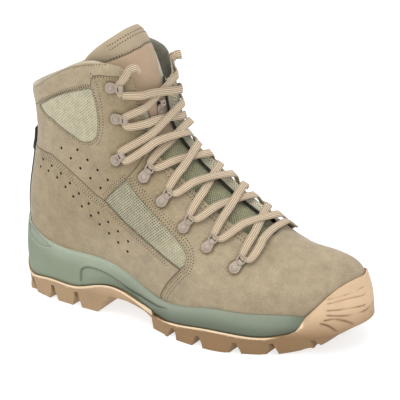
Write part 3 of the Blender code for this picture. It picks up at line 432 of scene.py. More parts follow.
def blotches_group():
    """Node group: soft blotches and fine grain on a colour, such as handling leaves."""
    group, n, given, end = new_group(
        "blotches",
        {
            "Place": ("Vector", None), "Colour": ("Color", (0.5, 0.5, 0.5, 1)),
            "Blotch Scale": ("Float", 30.0), "Blotch": ("Float", 0.2),
            "Grain Scale": ("Float", 900.0), "Grain": ("Float", 0.2),
        },
        {"Colour": "Color", "Height": "Float"},
    )
    wide, fine = n.noise(given["Blotch Scale"], 4.0), n.noise(given["Grain Scale"], 3.0)
    shares = [
        n.math("MULTIPLY", n.math("SUBTRACT", noise, 0.5), given[amount])
        for noise, amount in ((wide, "Blotch"), (fine, "Grain"))
    ]
    bright = n.math("MULTIPLY_ADD", n.math("ADD", *shares), 2.0, 1.0)
    n.feed(end, "Colour", n.toned(given["Colour"], bright))
    n.feed(end, "Height", fine)
    return group


BLOTCHES = blotches_group()


def blotched(n, colour, *amounts):
    """The colour with blotches and grain, each a scale and a strength; the grain's height."""
    names = ("Blotch_Scale", "Blotch", "Grain_Scale", "Grain")
    node = n.add("Group", {"node_tree": BLOTCHES}, Place=n.place, Colour=colour, **dict(zip(names, amounts)))
    return node.outputs["Colour"], node.outputs["Height"]


def lace_finish():
    """Woven cotton: ribs along it with dark gaps, fine picks across them, painted shade along its rims."""
    finish, n = new_finish("lace_cotton", Roughness=0.85, Sheen_Weight=0.15, Sheen_Roughness=0.5)
    uv = n.add("UVMap", {"uv_map": "weave"}).outputs["UV"]
    across, along, _ = n.add("SeparateXYZ", Vector=uv).outputs
    rib = n.math("COSINE", n.math("MULTIPLY", across, 2 * math.pi / LACE_RIB))
    lean = n.math("MULTIPLY", rib, 1.4)
    pick = n.math("SINE", n.math("MULTIPLY_ADD", along, 2 * math.pi / LACE_PICK, lean))
    mask = n.math("MULTIPLY", n.span(rib, -1.0, 0.35), n.span(pick, -1.0, 0.2, 0.72, 1.0))
    # Painted shade darkens the cord towards its two edges.
    mask = n.math("MULTIPLY", mask, n.span(n.math("ABSOLUTE", across), 2.3, 3.1, 1.0, 0.35))
    colour, _ = blotched(n, n.mix(mask, LACE_SHADE, LACE_COLOUR), 60.0, 0.12, 2500.0, 0.18)
    n.dress(colour, n.math("MULTIPLY_ADD", pick, 0.35, rib), 0.5, 0.00025)
    return finish


LACE_FINISH = lace_finish()


def seat_points(label, sign):
    """The lace's way into a fitting from one side: beside it, its bend, and its seat."""
    foot, ahead, aside, out = fitting_at(label)
    kind = kind_of(label)
    seat, high = SEAT_AT[kind], SEAT_HIGH[kind]
    bend, beside = [
        foot + ahead * (seat + further) + aside * sign * spread + out * (high + higher)
        for spread, (further, higher) in zip(SEAT_SPREAD[kind], (SEAT_BEND, SEAT_BESIDE))
    ]
    return beside, bend, foot + ahead * seat + out * high


def make_tail(side):
    """One free end: out of its top hook, round and on to its cut end."""
    label = side[0] + "8"
    foot, _, aside, out = fitting_at(label)
    tail = np.array(TAILS[side], float)
    sign = 1.0 if np.dot(tail[0] - foot, aside) > 0 else -1.0
    beside, bend, middle = seat_points(label, sign)
    line, _ = spline(np.vstack([*seat_points(label, -sign), bend, beside, tail]), LACE_STEP)
    run = run_along(line)
    share = (run / run[-1])[:, None]
    facing = (1 - share) * out + share * TAIL_FACE * (1, -1 if side == "inner" else 1, 1)
    seated = np.abs(run - run[int(np.argmin(np.linalg.norm(line - middle, axis=1)))])
    piece = lace_mesh("lace_tail_" + side, line, facing, read_table(TAIL_WIDTHS, seated))
    piece.data.materials.append(LACE_FINISH)
    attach(piece, "root")
    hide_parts("lace_end_" + side)
    metres(line[0])
    metres(line)


for side in ("outer", "inner"):
    make_tail(side)


# ------------------------------------------------------------------------ rings and hooks
# Stamped and painted metal. A drop-shaped plate is riveted to the leather. On a ring it
# carries a wire loop at its end, and on a hook it folds up and back into a slotted bridge.
PLATE_RADIUS = 4.4
PLATE_TIP = 7.7         # from the rivet to the plate's end
PLATE_TIP_HALF = 2.9
PLATE_EDGE = 0.3        # its edges are rounded this much
PLATE_THICK = 1.1
PLATE_TOP = PLATE_LIFT + PLATE_THICK
RIVET_RADIUS = 2.9
# Steps in over the rivet's face: how far in, and then how far up.
RIVET_STEPS = (
    (0.3, 0.12), (0.35, 0), (0.16, -0.3), (0.14, 0), (0.18, 0.32), (0.45, 0.16), (0.6, 0.1),
)
LOOP_MIDDLE = 7.5
LOOP_LONG = 3.5
LOOP_HALF = 3.9
LOOP_WIRE = 0.72
LOOP_RISE = 14          # degrees that the loop stands up from the plate
LOOP_NECK = 0.62        # its width at the plate, to its width at the far bar
BRIDGE_HALF = 2.9
BRIDGE_START = 4.3
BRIDGE_END = 9.4
BRIDGE_HIGH = 3.6
BRIDGE_THICK = 0.9
BRIDGE_EDGE = 0.22
# The fold over the lace in steps ahead and up, from the plate's end.
BRIDGE_FOLD = (
    (0.55, 0.35), (0.25, 0.8), (0, BRIDGE_HIGH - 2.3), (-0.25, 0.8), (-0.55, 0.35), (-1.8, 0.15), (-1.7, 0),
)
SLOT_BACK = 1.5         # the slot's middle, back from the bridge's end
SLOT_SIZE = (1.15, 3.5, 2.2)
METAL_COLOUR = (0.37, 0.30, 0.235, 1)
METAL_SHADE_COLOUR = (0.03, 0.027, 0.024, 1)


def plain_finish(name, colour, *amounts, **values):
    """A material of one colour with its blotches and grain."""
    finish, n = new_finish(name, **values)
    n.dress(blotched(n, colour, *amounts)[0])
    return finish


def paint_finish():
    """Thick paint with a soft gloss and rubbed grain."""
    finish, n = new_finish("painted_metal_coat", Roughness=0.42, Metallic=0.25, Coat_Weight=0.12)
    colour, height = blotched(n, METAL_COLOUR, 260.0, 0.16, 2200.0, 0.10)
    n.feed(n.shader, "Roughness", n.span(height, 0.0, 1.0, 0.34, 0.55))
    n.dress(colour, height, 0.12, 0.0002)
    return finish


METAL = paint_finish()
# Painted shade: near black for the window under a ring's loop and the walls of a hook's slot.
METAL_WINDOW_SHADE = plain_finish("painted_window_shade", METAL_SHADE_COLOUR, 400.0, 0.3, 2500.0, 0.3, Roughness=0.8)


def only(thing):
    """Selects one object and makes it active."""
    if bpy.context.object and bpy.context.object.mode != "OBJECT":
        bpy.ops.object.mode_set(mode="OBJECT")
    bpy.ops.object.select_all(action="DESELECT")
    thing.select_set(True)
    bpy.context.view_layer.objects.active = thing
    return thing


def modify(thing, *steps):
    """Adds modifiers, each a kind and its values, and applies them."""
    only(thing)
    for kind, values in steps:
        step = thing.modifiers.new(kind.lower(), kind)
        for name, value in values.items():
            setattr(step, name, value)
        bpy.ops.object.modifier_apply(modifier=step.name)
    return thing


def settle(thing):
    """Writes an object's place, turn and size into its mesh."""
    only(thing)
    bpy.ops.object.transform_apply(location=True, rotation=True, scale=True)
    return thing


def join(pieces):
    """Makes objects one."""
    only(pieces[0])
    for piece in pieces:
        piece.select_set(True)
    bpy.ops.object.join()
    return bpy.context.object


def cut(thing, tool, **values):
    """Takes one object's form out of another and removes the tool."""
    modify(thing, ("BOOLEAN", {"object": tool, "operation": "DIFFERENCE", **values}))
    bpy.data.objects.remove(tool, do_unlink=True)


def pick(thing, kind, test):
    """Selects the faces or edges that pass the test, in edit mode."""
    only(thing)
    bpy.ops.object.mode_set(mode="EDIT")
    bpy.ops.mesh.select_mode(type=kind)
    bpy.ops.mesh.select_all(action="DESELECT")
    shape = bmesh.from_edit_mesh(thing.data)
    for part in (shape.faces if kind == "FACE" else shape.edges):
        part.select = bool(test(part))
    shape.select_flush_mode()
    bmesh.update_edit_mesh(thing.data)


def plate_piece():
    """The drop-shaped plate, about its rivet."""
    bpy.ops.object.select_all(action="DESELECT")
    bpy.ops.mesh.primitive_circle_add(vertices=44, radius=PLATE_RADIUS * MM, fill_type="NGON")
    plate = bpy.context.object
    for corner in plate.data.vertices:
        cosine, sine = corner.co.x / PLATE_RADIUS / MM, corner.co.y / PLATE_RADIUS / MM
        if cosine > 0:
            half = PLATE_RADIUS + (PLATE_TIP_HALF - PLATE_RADIUS) * cosine ** 0.8
            corner.co.x = PLATE_TIP * cosine ** 0.9 * MM
            corner.co.y = math.copysign(half * abs(sine) ** 0.3, sine) * MM
        corner.co.z = PLATE_TOP * MM
    return modify(
        plate,
        ("SOLIDIFY", {"thickness": PLATE_THICK * MM, "offset": -1}),
        ("BEVEL", {"width": PLATE_EDGE * MM, "segments": 2, "limit_method": "ANGLE"}),
    )


def rivet_piece():
    """The rivet: a low dome inside a turned rim."""
    bpy.ops.mesh.primitive_cylinder_add(
        vertices=32, radius=RIVET_RADIUS * MM, depth=MM, location=(0, 0, (PLATE_TOP + 0.1) * MM)
    )
    rivet = settle(bpy.context.object)
    pick(rivet, "FACE", lambda face: face.normal.z > 0.9)
    for inset, rise in RIVET_STEPS:
        bpy.ops.mesh.inset(thickness=inset * MM)
        bpy.ops.transform.translate(value=(0, 0, rise * MM))
    return only(rivet)


def loop_piece():
    """The ring's wire loop, wide at its far bar and narrow at the plate."""
    bpy.ops.mesh.primitive_torus_add(
        major_segments=36, minor_segments=10, major_radius=LOOP_LONG * MM, minor_radius=LOOP_WIRE * MM
    )
    loop = bpy.context.object
    for corner in loop.data.vertices:
        x, y = corner.co.x / MM, corner.co.y / MM
        turn = math.atan2(y, x)
        cosine, sine = math.cos(turn), math.sin(turn)
        off_x, off_y = x - LOOP_LONG * cosine, y - LOOP_LONG * sine
        narrow = LOOP_NECK + (1 - LOOP_NECK) * (cosine + 1) / 2
        square = math.copysign(abs(cosine) ** 0.7, cosine)
        corner.co.x = (LOOP_LONG * square + off_x) * MM
        corner.co.y = (LOOP_HALF * narrow * math.copysign(abs(sine) ** 0.8, sine) + off_y) * MM
    loop.rotation_euler = (0, -math.radians(LOOP_RISE), 0)
    loop.location = (LOOP_MIDDLE * MM, 0, (PLATE_TOP + 1.0) * MM)
    return settle(loop)


def bridge_piece():
    """The hook's bridge: a strip folded up and back over the lace, with a slot in it."""
    bpy.ops.mesh.primitive_plane_add(size=2 * BRIDGE_HALF * MM)
    bridge = bpy.context.object
    for corner in bridge.data.vertices:
        corner.co.x = (BRIDGE_START if corner.co.x < 0 else BRIDGE_END) * MM
        corner.co.z = PLATE_LIFT * MM
    pick(bridge, "EDGE", lambda edge: min(corner.co.x for corner in edge.verts) > (BRIDGE_END - 0.01) * MM)
    for ahead, up in BRIDGE_FOLD:
        bpy.ops.mesh.extrude_region_move(TRANSFORM_OT_translate={"value": (ahead * MM, 0, up * MM)})
    modify(
        bridge,
        ("SOLIDIFY", {"thickness": BRIDGE_THICK * MM, "offset": -1}),
        ("BEVEL", {"width": BRIDGE_EDGE * MM, "segments": 2, "limit_method": "ANGLE"}),
    )
    face_outward(bridge)
    bridge.data.materials.append(METAL)
    place = ((BRIDGE_END - SLOT_BACK) * MM, 0, (PLATE_LIFT + BRIDGE_HIGH) * MM)
    bpy.ops.mesh.primitive_cube_add(size=1, location=place)
    slot = bpy.context.object
    slot.scale = [side * MM for side in SLOT_SIZE]
    settle(slot)
    # The slot's walls take the painted shade.
    slot.data.materials.append(METAL_WINDOW_SHADE)
    cut(bridge, slot, solver="EXACT", material_mode="TRANSFER")
    return bridge


def fitting_shape(kind):
    """Plate, rivet and loop or bridge as one mesh, lying along x about the rivet."""
    pieces = [plate_piece(), rivet_piece(), loop_piece() if kind == "ring" else bridge_piece()]
    for piece in pieces:
        if not piece.data.materials:
            piece.data.materials.append(METAL)
    made = join(pieces)
    if METAL_WINDOW_SHADE.name not in made.data.materials:
        made.data.materials.append(METAL_WINDOW_SHADE)
    # Faces at the plate's top level or lower, beyond the rivet under the loop or bridge, get the painted
    # shade.
    dark = list(made.data.materials).index(METAL_WINDOW_SHADE)
    for face in made.data.polygons:
        x, y, z = face.center / MM
        if z < PLATE_TOP + 0.05 and x > RIVET_RADIUS + 1.4 and abs(y) < 2.6:
            face.material_index = dark
    only(made)
    bpy.ops.object.shade_smooth_by_angle(angle=math.radians(38))
    mesh = made.data.copy()
    bpy.data.objects.remove(made, do_unlink=True)
    return mesh


FITTING_SHAPES = {kind: fitting_shape(kind) for kind in ("ring", "hook")}
for node, (foot, ahead, aside, out) in FITTINGS.items():
    mesh = FITTING_SHAPES["ring" if node.startswith("ring_") else "hook"].copy()
    matrix = Matrix([[*row] for row in np.column_stack([ahead, aside, out])]).to_4x4()
    matrix.translation = metres(foot)
    mesh.transform(matrix)
    fitting = add_object(node + "_metal", mesh)
    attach(fitting, "root")
    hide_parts(node)


# -------------------------------------------------------------------------------- upper
# Suede quarters, vamp and shaft are cut as flat pieces and sewn one over the next, with
# woven cloth let in at the ankle and in a slanting strip. The collar is padded and lined.
SUEDE_COLOUR = (0.348, 0.279, 0.181, 1)
DUST_COLOUR = (0.27, 0.195, 0.12, 1)
SEAM_SHADE_COLOUR = (0.13, 0.095, 0.055, 1)
CLOTH_COLOUR = (0.515, 0.47, 0.325, 1)
CLOTH_GAP = (0.235, 0.215, 0.135, 1)
STRIP_GAP = (0.075, 0.07, 0.04, 1)
LINING_COLOUR = (0.27, 0.255, 0.20, 1)
LINING_GAP = (0.03, 0.03, 0.025, 1)
BINDING_COLOUR = (0.47, 0.405, 0.30, 1)
TAPE_LIGHT = (0.60, 0.56, 0.42, 1)
TAPE_DARK = (0.17, 0.165, 0.11, 1)
CLOTH_PITCH = 2.35
TAPE_PITCH = 2.0
LINING_PITCH = 1.5
ACROSS_THROAT = (0, 0.93, math.pi / 2)  # turns a weave to lie along the throat
OVERLAP = 0.55          # one leather stands this far over the next
CLOTH_SUNK = 0.85       # the cloth lies this far under the leather round it
EDGE_ROUND = 0.55       # the step at an edge is rounded over this
SEAM_NEAR = 2.6         # the mesh is finer this near an edge
# Padding behind each cloth and the band: how high, and over what distance it rises.
CLOTH_PUFF = {"ankle": (1.5, 10), "strip": (0.5, 6)}
BAND_SUNK, BAND_PUFF = 0.3, (0.9, 6)
# Folds and creases: depth, half width, and how far inside the edge.
SEAM_PULL = (0.22, 1.5, 3.1)
EYESTAY_SEAM = (0.3, 1.0)
BINDING_SEAM = (0.45, 0.8)
BINDING_HIGH, BINDING_ROUND = 0.7, 1.4
THROAT_HALF = 31.5      # the leather ends this far from the middle line, and tape goes on
TAPE_SUNK = 0.5
TAPE_BACK, TAPE_FRONT, TAPE_LOW, TAPE_TOP = 96, 219, 74, 199
# Middle lines inside the boot: the foot's from x to x and its height, the leg's from z to z
# and its x.
FOOT_CORE = (40, 235, 46.0)
LEG_CORE = (60, 260, 68.0)
# How much lighter or darker the leather is than elsewhere.
BAND_LIGHTER, TOE_LIGHTER = 0.05, 0.03
QUARTER_DARKER, EYESTAY_DARKER, STRIP_DARKER, HEEL_DARKER = 0.13, 0.04, 0.13, 0.09
METAL_CONTACT_SHADE = 0.42       # how dark the painted contact shade is round the fittings
METAL_CONTACT_SHADE_REACH = (2.6, 0.9)
# Outlines in side view, x and z, the same on both sides of the boot.
ANKLE_CLOTH = [
    (29, 163.6), (43.6, 172.3), (60.5, 180.2), (76.1, 185.2), (86.1, 187.4), (87.9, 181.8),
    (89.9, 173.1), (90.5, 163.1), (89.9, 154.9), (88.1, 149), (84.1, 144.7), (78.4, 142.6),
    (72.2, 142.7), (64.9, 145.7), (54.8, 149.9), (44.2, 154.9), (35.5, 158),
]
STRIP_UPPER = [
    (114.9, 118.8), (127.1, 107.5), (139.8, 96.4), (152.5, 86.5), (162.9, 78.3), (169, 72.5),
    (171.3, 67.2), (170, 61), (166.1, 57.3),
]
STRIP_LOWER = [(157.1, 61), (141.6, 69.1), (125.9, 77.7), (109.3, 86.5), (93.2, 98.2)]
STRIP_END = [(103.8, 109.2)]
QUARTER_TOP = [(25.4, 126), (40.8, 125.6), (52.2, 120.9), (65.1, 114), (77.4, 106.3), (85.8, 101)]
QUARTER_FRONT = [(160.3, 51.2), (152.9, 43.1), (145.2, 32.8), (142.9, 28.5)]
VAMP_TOP = [(125, 132.4), (123, 129), (118.8, 123.4)]
BAND_EDGE = [(10, 157), (26.9, 164.6), (43.8, 173.8), (61.7, 182), (76.3, 187.3), (85.9, 189.8)]
EYESTAY_EDGE = [
    (86.5, 197.9), (88.9, 195), (91.6, 183.3), (93.2, 169.9), (93.4, 159.5), (90.9, 148.6), (85.7, 141.3),
]
EYESTAY_TOP = [(86.9, 195.4), (89.4, 198.1), (93.5, 199.1), (106.3, 198.9), (114, 198.4)]
COLLAR_LINE = [
    (4, 166), (25.2, 178.6), (46, 191.7), (63.6, 201.1), (82.8, 207), (99.6, 209), (112, 208), (125, 205.4),
]
STRIP = STRIP_UPPER + STRIP_LOWER + STRIP_END
QUARTER = [
    (-40, 126), *QUARTER_TOP, *STRIP_LOWER[::-1], STRIP_UPPER[-1], *QUARTER_FRONT, (142, -20), (-40, -20),
]
VAMP = [*VAMP_TOP, *STRIP_UPPER, *QUARTER_FRONT, (142, -20), (340, -20), (340, 160), (134, 160)]
BAND = [(-40, 152), *BAND_EDGE, *EYESTAY_TOP, (130, 197), (130, 260), (-40, 260)]
# Rows of breathing holes, each a line in side view and its number of holes.
HOLE_ROWS = [
    ([(69.1, 135.4), (83, 125.4), (97.5, 115.7)], 4),
    ([(52.1, 133.5), (70, 121.1), (90.2, 107.9)], 5),
    ([(30.1, 119.2), (48.7, 113.7), (75.2, 94.5), (115.5, 69.2)], 10),
    ([(26.6, 112.1), (43.4, 109.7), (75.4, 85.3), (113.6, 59.7)], 11),
]
HOLE_RADIUS = 1.1
HOLE_DEEP = 1.7
# The holes' walls are near black: painted shade.
HOLE_SHADE_COLOUR = (0.02, 0.015, 0.009, 1)
# Creases pressed in on both sides: start, middle and end in boot mm on the outer
# side, the depth (a ridge is minus) and the half width.
CREASES = [
    ((206, -47, 50), (217, -42, 60), (226, -36, 66), 0.45, 5.0),
    ((218, -46, 44), (231, -39, 56), (240, -30, 64), 0.4, 5.0),
    ((196, -49, 52), (207, -45, 62), (214, -38, 70), -0.35, 4.5),
    ((100, -38, 128), (112, -39, 124), (120, -36, 128), 0.5, 4.0),
    ((60, -36, 128), (78, -38, 126), (96, -38, 131), 0.35, 5.0),
    ((22, -24, 140), (40, -33, 136), (58, -36, 138), 0.35, 5.0),
    ((245, -28, 50), (256, -24, 56), (262, -16, 62), -0.35, 6.0),
]


def rounded(line, closed=False, step=1.2):
    """A smooth side view outline through its corners."""
    points = [(x, 0, z) for x, z in line]
    return spline(points + points[:1] if closed else points, step)[0][:, (0, 2)]


def line_distance(points, line):
    """Distance from points to a line, in side view or in space."""
    best = np.full(len(points), 1e9)
    for a, b in zip(line[:-1], line[1:]):
        run = b - a
        share = np.clip(((points - a) @ run) / max(run @ run, 1e-9), 0, 1)
        gap = points - a - share[:, None] * run
        best = np.minimum(best, np.einsum("ij,ij->i", gap, gap))
    return np.sqrt(best)


def outline_distance(points, outline):
    """Signed distance in side view to a closed outline, minus inside it."""
    closed = np.vstack([outline, outline[:1]])
    inside = np.zeros(len(points), bool)
    for a, b in zip(closed[:-1], closed[1:]):
        if a[1] != b[1]:
            crosses = (a[1] > points[:, 1]) != (b[1] > points[:, 1])
            at = a[0] + (points[:, 1] - a[1]) * (b[0] - a[0]) / (b[1] - a[1])
            inside ^= crosses & (points[:, 0] < at)
    return line_distance(points, closed) * np.where(inside, -1, 1)


OUTLINES = {"ankle": rounded(ANKLE_CLOTH, closed=True)}
for name, outline in (("strip", STRIP), ("quarter", QUARTER), ("vamp", VAMP), ("band", BAND)):
    OUTLINES[name] = np.array(outline, float)


def ramp(value, low, high):
    """Smoothly from 0 at low to 1 at high."""
    t = np.clip((value - low) / (high - low), 0, 1)
    return t * t * (3 - 2 * t)


def ridge(off, high, half, middle=0.0):
    """A fold or lip along a line: its height at a distance off the line."""
    return high * np.exp(-((off - middle) / half) ** 2)


def swell(depth, high, reach):
    """A cushion's height at a depth inside its edge."""
    return high * (1 - np.exp(-np.clip(depth, 0, None) / reach))


def set_corners(mesh, points):
    """Moves a mesh's corners to points in boot mm."""
    mesh.vertices.foreach_set("co", metres(points).astype(np.float32).ravel())
    mesh.update()


def keep(mesh, **values):
    """Keeps values on a mesh's corners, for its material."""
    for name, value in values.items():
        layer = mesh.attributes.new(name, "FLOAT", "POINT")
        layer.data.foreach_set("value", np.asarray(value, np.float32))


def cad_copy(node, name, levels, join_angle=60.0, sharp=None):
    """A smooth copy of a CAD node: doubles merged, triangles paired, and subdivided.

    Edges that turn by more than sharp degrees keep their crease.
    """
    made = add_object(name, cad(node)[0].copy())
    made.data.materials.clear()
    only(made)
    bpy.ops.object.mode_set(mode="EDIT")
    bpy.ops.mesh.select_mode(type="VERT")
    bpy.ops.mesh.select_all(action="SELECT")
    bpy.ops.mesh.remove_doubles(threshold=0.00002)
    angle = math.radians(join_angle)
    bpy.ops.mesh.tris_convert_to_quads(face_threshold=angle, shape_threshold=angle)
    bpy.ops.object.mode_set(mode="OBJECT")
    if sharp:
        shape = bmesh.new()
        shape.from_mesh(made.data)
        layer = shape.edges.layers.float.new("crease_edge")
        for edge in shape.edges:
            if len(edge.link_faces) == 2 and edge.calc_face_angle() > math.radians(sharp):
                edge[layer] = 1.0
        shape.to_mesh(made.data)
        shape.free()
    modify(made, ("SUBSURF", {"levels": levels, "render_levels": levels}))
    made.data.shade_smooth()
    return made


def core_of(points):
    """The nearest point inside the boot: along the foot, or up the middle of the leg."""
    x, y, z = points.T
    foot = np.column_stack([np.clip(x, *FOOT_CORE[:2]), 0 * y, 0 * z + FOOT_CORE[2]])
    leg = np.column_stack([0 * x + LEG_CORE[2], 0 * y, np.clip(z, *LEG_CORE[:2])])
    nearer = np.linalg.norm(points - foot, axis=1) < np.linalg.norm(points - leg, axis=1)
    return np.where(nearer[:, None], foot, leg)


def outside_share(points, normals):
    """1 where the surface looks away from the foot, 0 where it looks at it."""
    away = unit(points - core_of(points))
    return ramp(np.einsum("ij,ij->i", away, normals), -0.15, 0.25)


def in_outline(apart):
    """The step at an outline: 0 outside it and 1 inside."""
    return ramp(-apart, -EDGE_ROUND / 2, EDGE_ROUND / 2)


def upper_heights(points, apart):
    """How far the outer face stands off its plain form at points in boot mm."""
    side = points[:, (0, 2)]
    high = OVERLAP * np.maximum(in_outline(apart["quarter"]), in_outline(apart["vamp"]))
    for name, puff in CLOTH_PUFF.items():
        inner = in_outline(apart[name])
        high = high * (1 - inner) - inner * CLOTH_SUNK + swell(-apart[name], *puff)
    high += in_outline(apart["band"]) * (swell(-apart["band"], *BAND_PUFF) - BAND_SUNK)
    for name in ("quarter", "vamp"):
        high -= ridge(-apart[name], *SEAM_PULL)
    bound = binding_height(points)
    high += BINDING_HIGH * ramp(bound, 0, BINDING_ROUND) - ridge(bound, *BINDING_SEAM)
    high -= ridge(line_distance(side, rounded(EYESTAY_EDGE)), *EYESTAY_SEAM)
    high -= TAPE_SUNK * tape_share(points)
    for start, middle, end, depth, half in CREASES:
        line = spline([start, middle, end], 2.0)[0]
        for mirror in (1, -1):
            gaps = np.linalg.norm((points * (1, mirror, 1))[:, None] - line[None], axis=2)
            high -= ridge(np.min(gaps, axis=1), depth, half)
    return high


def binding_height(points):
    """How far a point is above the lower edge of the collar's binding, or below it (minus)."""
    return (points[:, 2] - read_table(COLLAR_LINE, points[:, 0])) * 0.88


def tape_share(points):
    """1 on the woven tape along the inner side of the throat and 0 on leather."""
    x, y, z = points.T
    along = ramp(z, TAPE_LOW, TAPE_LOW + 6) * ramp(x, TAPE_BACK, TAPE_BACK + 3)
    along = along * ramp(x, TAPE_FRONT, TAPE_FRONT - 6) * (z < TAPE_TOP)
    return ramp(THROAT_HALF - y, -0.3, 0.3) * (y > 0) * along


def weave_group():
    """Node group: plain weave with open gaps, on a place in millimetres."""
    group, n, given, end = new_group(
        "plain_weave",
        {"Place": ("Vector", None), "Pitch": ("Float", 1.0)}, {"Thread": "Float", "Height": "Float"},
    )
    turn = n.math("DIVIDE", 2 * math.pi, given["Pitch"])
    parts = n.add("SeparateXYZ", Vector=n.place).outputs
    waves = [n.math("COSINE", n.math("MULTIPLY", parts[axis], turn)) for axis in ("X", "Z")]
    thread = n.span(n.math("MULTIPLY", *waves), 0.62, 0.12)
    n.feed(end, "Thread", thread)
    n.feed(end, "Height", n.math("MULTIPLY_ADD", n.math("ABSOLUTE", waves[0]), -0.4, thread))
    return group


WEAVE = weave_group()


def woven(n, pitch, colour, gap, turned=(0, 0, 0)):
    """Colour and height of woven cloth, its pattern turned into the cloth's plane."""
    scaled = n.add("Mapping", Vector=n.place, Scale=(0.8 / MM, 1 / MM, 1 / MM), Rotation=turned)
    cloth = n.add("Group", {"node_tree": WEAVE}, Place=scaled.outputs[0], Pitch=pitch).outputs
    uneven = n.span(n.noise(260.0), 0.3, 0.7, 0.86, 1.1)
    return n.toned(n.mix(cloth["Thread"], gap, colour), uneven), cloth["Height"]


def cloth_finish(name, roughness, weave, strength, distance):
    """A material that is all woven cloth: its pitch, its colour and its gaps."""
    finish, n = new_finish(name, Roughness=roughness)
    n.dress(*woven(n, *weave), strength, distance)
    return finish


def upper_finish():
    """Suede with brushed nap, the woven cloth let into it, and tape along the throat, with painted shade
    along the seams and round the sunken cloth.
    """
    finish, n = new_finish(
        "suede_and_cloth", Roughness=0.9, Specular_IOR_Level=0.25, Sheen_Weight=0.22, Sheen_Roughness=0.45,
    )
    tone, edge = n.kept("tone"), n.kept("cloth")
    nearest = 9.0
    for name in ("quarter", "vamp", "band"):
        nearest = n.math("MINIMUM", n.math("ABSOLUTE", n.math("SUBTRACT", n.kept(name), 0.2)), nearest)
    suede, _ = blotched(n, SUEDE_COLOUR, 38.0, 0.20, 1100.0, 0.36)
    rubbed = n.noise(120.0, 5.0, 0.65)
    nap = n.span(rubbed, 0.3, 0.7, 0.86, 1.12)
    suede = n.toned(suede, n.math("MULTIPLY", nap, tone), n.span(tone, 1.0, 0.85, 1.0, 1.13))
    # Dust and rubbing low down on the boot, in ragged patches.
    low = n.span(n.add("SeparateXYZ", Vector=n.place).outputs["Z"], 0.075, 0.03, 0.0, 0.5)
    worn = n.math("MULTIPLY", low, n.span(n.noise(70.0, 8.0, 0.75), 0.52, 0.66))
    suede = n.mix(worn, suede, DUST_COLOUR)
    # Painted shade along the seams, where one leather lies over the next.
    suede = n.mix(n.span(nearest, 0.8, 0.25, 0.0, 0.9), suede, SEAM_SHADE_COLOUR)
    suede = n.mix(n.span(n.kept("binding"), 0.2, 0.8), suede, BINDING_COLOUR)

    # The strip's mesh is more open than the ankle's, so its gaps look darker.
    gaps = n.mix(n.span(tone, 0.84, 0.79), CLOTH_GAP, STRIP_GAP)
    cloth, dots = woven(n, CLOTH_PITCH, CLOTH_COLOUR, gaps)
    tape, picks = woven(n, TAPE_PITCH, TAPE_LIGHT, TAPE_DARK, ACROSS_THROAT)
    in_cloth, in_tape = n.span(edge, 0.12, -0.12), n.span(n.kept("tape"), 0.4, 0.6)
    # Painted shade on the leather and on the cloth beside the sunken cloth's edge.
    shade = n.blend(in_cloth, n.span(edge, 0.0, 0.6, 0.4, 1.0), n.span(edge, -1.2, -0.2, 1.0, 0.42))
    sewn = n.toned(n.mix(in_cloth, suede, n.toned(cloth, tone)), shade)
    high = n.blend(in_cloth, n.math("MULTIPLY_ADD", rubbed, 1.2, n.noise(2600.0)), dots)
    n.dress(n.mix(in_tape, sewn, tape), n.blend(in_tape, high, picks), 0.35, 0.0003)
    return finish


def refine(thing, wanted, rounds):
    """Splits the faces that wanted picks by their middles, in boot mm, once a round."""
    for _ in range(rounds):
        pick(thing, "FACE", lambda face: False)
        bpy.ops.object.mode_set(mode="OBJECT")
        middles = np.zeros(len(thing.data.polygons) * 3)
        thing.data.polygons.foreach_get("center", middles)
        chosen = wanted(boot_mm(middles.reshape(-1, 3)))
        thing.data.polygons.foreach_set("select", chosen.tolist())
        bpy.ops.object.mode_set(mode="EDIT")
        bpy.ops.mesh.subdivide(number_cuts=1, smoothness=0)
        bpy.ops.object.mode_set(mode="OBJECT")


def cut_holes(upper):
    """Cuts the breathing holes into the leather and gives each hole's place and axis."""
    tree = tree_of(upper.data)
    bores, drills = [], []
    bpy.ops.object.select_all(action="DESELECT")
    for side in (-1, 1):
        for row, count in HOLE_ROWS:
            line = rounded(row, step=0.5)
            for x, z in line[np.linspace(0, len(line) - 1, count).astype(int)]:
                hit, normal, _, _ = tree.ray_cast(Vector((x, side * PROBE, z)), Vector((0, -side, 0)))
                bpy.ops.mesh.primitive_cylinder_add(
                    vertices=14, radius=HOLE_RADIUS * MM, depth=2 * HOLE_DEEP * MM
                )
                drill = bpy.context.object
                drill.location = metres(hit)
                drill.rotation_mode = "QUATERNION"
                drill.rotation_quaternion = normal.to_track_quat("Z", "Y")
                drills.append(drill)
                bores.append((np.array(hit), np.array(normal)))
    cut(upper, settle(join(drills)), solver="MANIFOLD")
    return bores


def in_bores(points, bores):
    """Which points are on the walls of the breathing holes."""
    inside = np.zeros(len(points), bool)
    for spot, axis in bores:
        away = points - spot
        deep = away @ axis
        wide = np.linalg.norm(away - deep[:, None] * axis, axis=1)
        inside |= (wide < HOLE_RADIUS * 1.05) & (np.abs(deep) < HOLE_DEEP * 1.1)
    return inside


